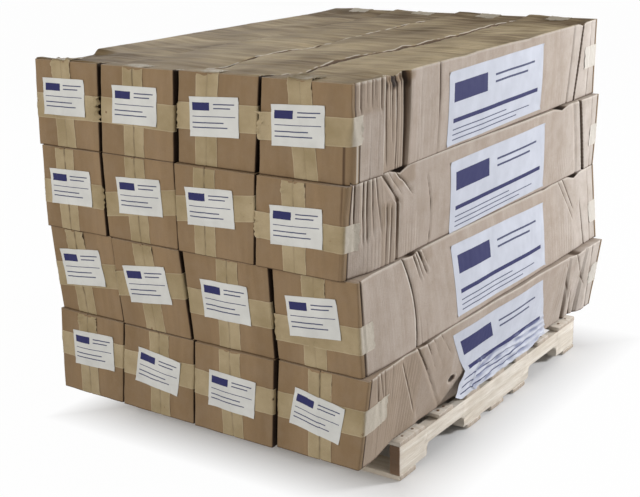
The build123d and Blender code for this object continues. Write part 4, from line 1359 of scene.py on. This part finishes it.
def tint(tree, colour, value, strength, ink):
    """The colour with ink over it, as much as the value times the strength."""
    return blend(tree, sums(tree, "MULTIPLY", value, strength), colour, ink)


def place(tree):
    """Where a point is on its object, in metres."""
    return add(tree, "ShaderNodeTexCoord").outputs["Object"]


def mark(tree, name):
    """One of the float attributes of the points."""
    return add(tree, "ShaderNodeAttribute", attribute_name=name).outputs["Fac"]


def relief(tree, surface, height, distance):
    """Fine relief of the surface, from a height that counts so many metres."""
    bump = add(tree, "ShaderNodeBump", {"Height": height, "Distance": distance, "Strength": 1.0})
    tree.links.new(bump.outputs[0], surface.inputs["Normal"])


# %% [markdown]
# Corrugated board is brown kraft liner over flutes. The liner shows the flutes as faint lines eight
# millimetres apart and is mottled in broad clouds and fine fibres. Painted light makes the right
# side and the roofs paler, a painted highlight and wear make the ridges of folds pale, and painted
# shade makes the valleys dark.

# %% Board
FLUTE_PITCH = 0.008
board, tree, surface = new_finish("corrugated_board", 0.68, 0.18)
here = place(tree)
fibre = level(tree, spots(tree, here, 420.0, 2.0), 0.4, 0.62)
smear = level(tree, spots(tree, here, 16.0, 5.0, 0.65), 0.42, 0.66)
fold, roof, lit_pale_here = mark(tree, "fold"), mark(tree, "top"), mark(tree, "faded")
# streaks along the flutes: noise that is drawn out twenty times in X and Z
run = add(tree, "ShaderNodeSeparateXYZ", {0: here})
across, upwards = (sums(tree, "MULTIPLY", run.outputs[axis], 0.05) for axis in (0, 2))
along = add(tree, "ShaderNodeCombineXYZ", {0: across, 1: mark(tree, "flute"), 2: upwards}).outputs[0]
band = level(tree, spots(tree, along, 26.0, 4.0, 0.6), 0.36, 0.64)
line = level(tree, spots(tree, along, 110.0, 3.0, 0.6), 0.42, 0.60)
brown = tint(tree, blend(tree, band, (125, 103, 76), (141, 118, 90)), line, 0.2, (112, 92, 68))
# painted light: paler, greyer colours for the right side, and paler still towards its rear
faded = tint(tree, blend(tree, band, (169, 155, 143), (178, 165, 154)), line, 0.2, (162, 148, 134))
# painted light on the roofs, darker where less light falls
lit_roof = blend(tree, roof, (99, 80, 53), (206, 187, 151))
colour = blend(tree, lit_pale_here, brown, faded)
colour = blend(tree, level(tree, lit_pale_here, 1.0, 1.8), colour, (222, 216, 210))
colour = blend(tree, level(tree, roof, 0.0, 0.01), colour, lit_roof)
colour = tint(tree, colour, smear, 0.3, (140, 122, 102))
colour = tint(tree, colour, fibre, 0.14, (110, 90, 68))
# painted highlight and wear on ridges, painted shade in valleys, then the deepest painted shade
for start, stop, most, ink in ((0.15, 1.0, 0.6, (222, 214, 202)), (-0.15, -0.9, 0.8, (80, 60, 43)),
                               (-1.0, -2.2, 0.9, (38, 27, 19))):
    colour = blend(tree, level(tree, fold, start, stop, 0.0, most), colour, ink)
tree.links.new(colour, surface.inputs["Base Color"])
flute = sums(tree, "SINE", sums(tree, "MULTIPLY", mark(tree, "flute"), 2 * math.pi / FLUTE_PITCH))
height = sums(tree, "ADD", sums(tree, "MULTIPLY", flute, 0.22), fibre)
height = sums(tree, "ADD", height, sums(tree, "MULTIPLY", smear, 2.0))
relief(tree, surface, height, 0.0003)
for piece in cartons:
    piece.data.materials.append(board)
print("board finish on", len(cartons))

# %% [markdown]
# The tape is the same kraft paper, but calendered, so it is a little paler, and shinier, with long
# fibres. Painted light makes it paler where it wraps onto the right side and where the rear strips
# lie on a roof, its edges get a pale painted highlight, and a dark line of painted shade lies where
# it spans the open seam.

# %% Tape
tape, tree, surface = new_finish("kraft_tape", 0.5, 0.32)
here = place(tree)
cloud = level(tree, spots(tree, here, 9.0, 4.0), 0.35, 0.65)
fibre = level(tree, spots(tree, here, 500.0, 2.0), 0.4, 0.62)
lit_pale_here = mark(tree, "faded")
colour = blend(tree, cloud, (144, 128, 95), (168, 152, 121))
# painted light: paler where a strip wraps onto the right side or lies on a rear roof, palest on the rear
# strips round the right side
colour = blend(tree, lit_pale_here, colour, (186, 177, 162))
colour = blend(tree, level(tree, lit_pale_here, 1.0, 1.5), colour, (215, 211, 205))
colour = tint(tree, colour, fibre, 0.14, (128, 106, 80))
# painted highlight along the curled edges of a strip
edge = level(tree, sums(tree, "ABSOLUTE", mark(tree, "across")), 0.92, 1.0, 0.0, 0.25)
colour = blend(tree, edge, colour, (214, 200, 176))
# painted shade: the dark line over the seam, and the front strips darker where they lie on a roof
colour = tint(tree, colour, mark(tree, "line"), 0.85, (62, 46, 32))
tree.links.new(colour, surface.inputs["Base Color"])
wrinkle = sums(tree, "MULTIPLY", spots(tree, here, 34.0, 3.0, 0.6), 6.0)
relief(tree, surface, sums(tree, "ADD", fibre, wrinkle), 0.0004)
for piece in tapes:
    piece.data.materials.append(tape)
print("tape finish on", len(tapes))

# %% [markdown]
# The labels carry plain printed bars and thin rules, drawn from the UV map. The paper is mottled a
# little, and the folds of the loose one are shaded.

# %% Labels
def bar(tree, u, v, left, right, low, high):
    """1 inside a rectangle of the UV map, else 0, from four comparisons."""
    inside = sums(tree, "GREATER_THAN", u, left)
    for value, kind, limit in ((u, "LESS_THAN", right), (v, "GREATER_THAN", low), (v, "LESS_THAN", high)):
        inside = sums(tree, "MULTIPLY", inside, sums(tree, kind, value, limit))
    return inside


def label_finish(name, paper_colour, bars):
    """Label paper with inked bars: colour, left, right, low and high, in shares of the sheet."""
    finish, tree, surface = new_finish(name, 0.55, 0.2)
    uv = add(tree, "ShaderNodeSeparateXYZ", {0: add(tree, "ShaderNodeTexCoord").outputs["UV"]})
    here = place(tree)
    cloud = level(tree, spots(tree, here, 14.0, 4.0), 0.35, 0.7)
    colour = blend(tree, cloud, paper_colour, tuple(c - 11 for c in paper_colour))
    for ink, *box in bars:
        colour = tint(tree, colour, bar(tree, uv.outputs[0], uv.outputs[1], *box), 0.98, ink)
    colour = tint(tree, colour, mark(tree, "shade"), 0.75, (112, 118, 146))
    tree.links.new(colour, surface.inputs["Base Color"])
    relief(tree, surface, spots(tree, here, 300.0, 2.0), 0.0001)
    return finish


NAVY, GREY = (24, 26, 84), (58, 62, 96)
END_BARS = [(NAVY, 0.06, 0.42, 0.66, 0.86), (GREY, 0.50, 0.92, 0.80, 0.83), (GREY, 0.50, 0.84, 0.70, 0.73),
            (GREY, 0.06, 0.94, 0.50, 0.52), (GREY, 0.06, 0.70, 0.34, 0.37), (GREY, 0.06, 0.78, 0.22, 0.25)]
SIDE_BARS = [(NAVY, 0.05, 0.95, 0.30, 0.36), (NAVY, 0.05, 0.38, 0.58, 0.84), (GREY, 0.46, 0.90, 0.76, 0.79),
             (GREY, 0.46, 0.82, 0.66, 0.69), (GREY, 0.05, 0.60, 0.20, 0.215), (GREY, 0.05, 0.86, 0.13, 0.145),
             (GREY, 0.05, 0.72, 0.06, 0.075)]
end_print = label_finish("end_label_paper", (203, 204, 202), END_BARS)
side_print = label_finish("side_label_paper", (192, 195, 205), SIDE_BARS)
for piece in labels:
    piece.data.materials.append(side_print if piece.name.startswith("side") else end_print)
print("label finishes on", len(labels))

# %% [markdown]
# Pallet wood is pale where it was sawn and has greyed, with grain drawn out along the board, and
# it is much darker on the end grain: partly the end grain itself, which soaks up dirt, and partly
# painted shade of the ends under the load.

# %% Wood
softwood, tree, surface = new_finish("pallet_softwood", 0.75, 0.35)
uv = add(tree, "ShaderNodeTexCoord").outputs["UV"]
stretched = add(tree, "ShaderNodeMapping", {"Vector": uv, "Scale": (0.06, 1.0, 1.0)}).outputs[0]
rings = spots(tree, stretched, 60.0, 4.0, 0.6)
streak = level(tree, spots(tree, stretched, 260.0, 3.0, 0.6), 0.40, 0.66)
stain = level(tree, spots(tree, place(tree), 7.0, 4.0), 0.45, 0.72)
colour = blend(tree, level(tree, rings, 0.38, 0.62), (226, 219, 208), (208, 198, 183))
colour = tint(tree, colour, streak, 0.3, (166, 148, 124))
colour = tint(tree, colour, stain, 0.3, (166, 156, 140))
# darker ends: end grain, and painted shade under the load
colour = blend(tree, level(tree, mark(tree, "end"), 0.004, 0.0, 0.0, 0.9), colour, (112, 80, 52))
tree.links.new(colour, surface.inputs["Base Color"])
relief(tree, surface, sums(tree, "ADD", streak, rings), 0.0006)
for piece in wood:
    piece.data.materials.append(softwood)
print("wood finish on", len(wood))

# %% [markdown]
# The camera stands at the front right, a little above the load, where the photograph was taken.
# Its axes are worked out from a heading, a downward tilt and a slight roll.

# %% Camera
CAMERA_AT = (2.097, -3.230, 1.614)
HEADING, TILT, ROLL = 0.614458, 0.290821, -0.0249268
LENS = 66.98
SENSOR = 36.0


def unit(vector):
    """The vector drawn to length 1."""
    return vector / np.linalg.norm(vector)


def placed(name, data, right, up, back, at):
    """A camera or lamp in the scene, by the directions of its right, its top and its back."""
    axes = np.eye(4)
    axes[:3] = np.stack([right, up, back, at], axis=-1)
    thing = bpy.data.objects.new(name, data)
    thing.matrix_world = Matrix(axes.tolist())
    bpy.context.scene.collection.objects.link(thing)
    return thing


back = np.array([math.sin(HEADING) * math.cos(TILT), -math.cos(HEADING) * math.cos(TILT), math.sin(TILT)])
right = unit(np.cross(-back, [0, 0, 1]))
up = np.cross(right, -back)
rolled_right = math.cos(ROLL) * right + math.sin(ROLL) * up
rolled_up = -math.sin(ROLL) * right + math.cos(ROLL) * up
camera_data = bpy.data.cameras.new("camera")
camera_data.lens = LENS
camera_data.sensor_width = SENSOR
bpy.context.scene.camera = placed("camera", camera_data, rolled_right, rolled_up, back, CAMERA_AT)

# %% [markdown]
# Floor and light are those of a plain studio. A soft lamp at the rear right glances along the long
# side, a weaker warm one fills the front, and a third lights the roofs and the left side.

# %% Floor, lamps and world
WHITE = (1.0, 1.0, 1.0, 1.0)
floor_mesh = bpy.data.meshes.new("floor")
floor_mesh.from_pydata([(-40, -40, 0), (40, -40, 0), (40, 40, 0), (-40, 40, 0)], [], [(0, 1, 2, 3)])
floor = bpy.data.objects.new("floor", floor_mesh)
bpy.context.scene.collection.objects.link(floor)
floor_finish, tree, surface = new_finish("pale_floor", 0.9, 0.2)
surface.inputs["Base Color"].default_value = srgb(226, 226, 226)
glow = add(tree, "ShaderNodeEmission", {"Color": WHITE, "Strength": 1.0})
rays = add(tree, "ShaderNodeLightPath").outputs
floor_seen = sums(tree, "MAXIMUM", rays["Is Camera Ray"], rays["Is Glossy Ray"])
# round the load the floor is white to the camera, under it the floor takes its shadow
at = add(tree, "ShaderNodeSeparateXYZ", {0: place(tree)})
beyond_side, beyond_end = (level(tree, sums(tree, "ABSOLUTE", at.outputs[axis]), start, stop)
                           for axis, start, stop in ((0, 0.49, 0.70), (1, 0.60, 0.85)))
open_floor = level(tree, sums(tree, "MAXIMUM", beyond_side, beyond_end), 0.0, 1.0, 0.0, 0.98)
floor_mix = add(tree, "ShaderNodeMixShader", {0: sums(tree, "MULTIPLY", floor_seen, open_floor),
                                             1: surface.outputs[0], 2: glow.outputs[0]})
tree.links.new(floor_mix.outputs[0], tree.nodes["Material Output"].inputs[0])
floor_mesh.materials.append(floor_finish)


def soft_lamp(name, at, aim, size, power, colour):
    """A square area lamp that looks at a point."""
    data = bpy.data.lights.new(name, "AREA")
    data.shape = "SQUARE"
    data.size = size
    data.energy = power
    data.color = colour
    away = unit(np.array(at) - np.array(aim))
    across = unit(np.cross([0, 0, 1], away))
    return placed(name, data, across, np.cross(away, across), away, at)


soft_lamp("key", (4.3, 4.2, 2.6), (0.4, 0.0, 0.6), 1.2, 400, (0.97, 0.98, 1.0))
soft_lamp("front_fill", (-0.6, -5.0, 2.4), (0.0, -0.8, 0.6), 1.6, 128, (1.0, 0.96, 0.9))
soft_lamp("left_fill", (-4.2, 3.6, 3.2), (-0.2, 0.0, 0.9), 2.2, 70, (1.0, 0.98, 0.94))
world = bpy.data.worlds.new("studio")
bpy.context.scene.world = world
world.use_nodes = True
tree = world.node_tree
lit = tree.nodes["Background"]
lit.inputs["Color"].default_value = WHITE
lit.inputs["Strength"].default_value = 0.30
white = add(tree, "ShaderNodeBackground", {"Color": WHITE, "Strength": 1.0})
rays = add(tree, "ShaderNodeLightPath").outputs
seen = sums(tree, "MAXIMUM", rays["Is Camera Ray"], rays["Is Transmission Ray"])
mixed = add(tree, "ShaderNodeMixShader", {0: seen, 1: lit.outputs[0], 2: white.outputs[0]})
tree.links.new(mixed.outputs[0], tree.nodes["World Output"].inputs[0])
bpy.context.scene.view_settings.view_transform = "Standard"

# %% [markdown]
# Last, the triangles of all dressed pieces are counted.

# %% Triangle count
pieces = cartons + tapes + labels + wood
print("triangles", sum(len(face.vertices) - 2 for piece in pieces for face in piece.data.polygons))
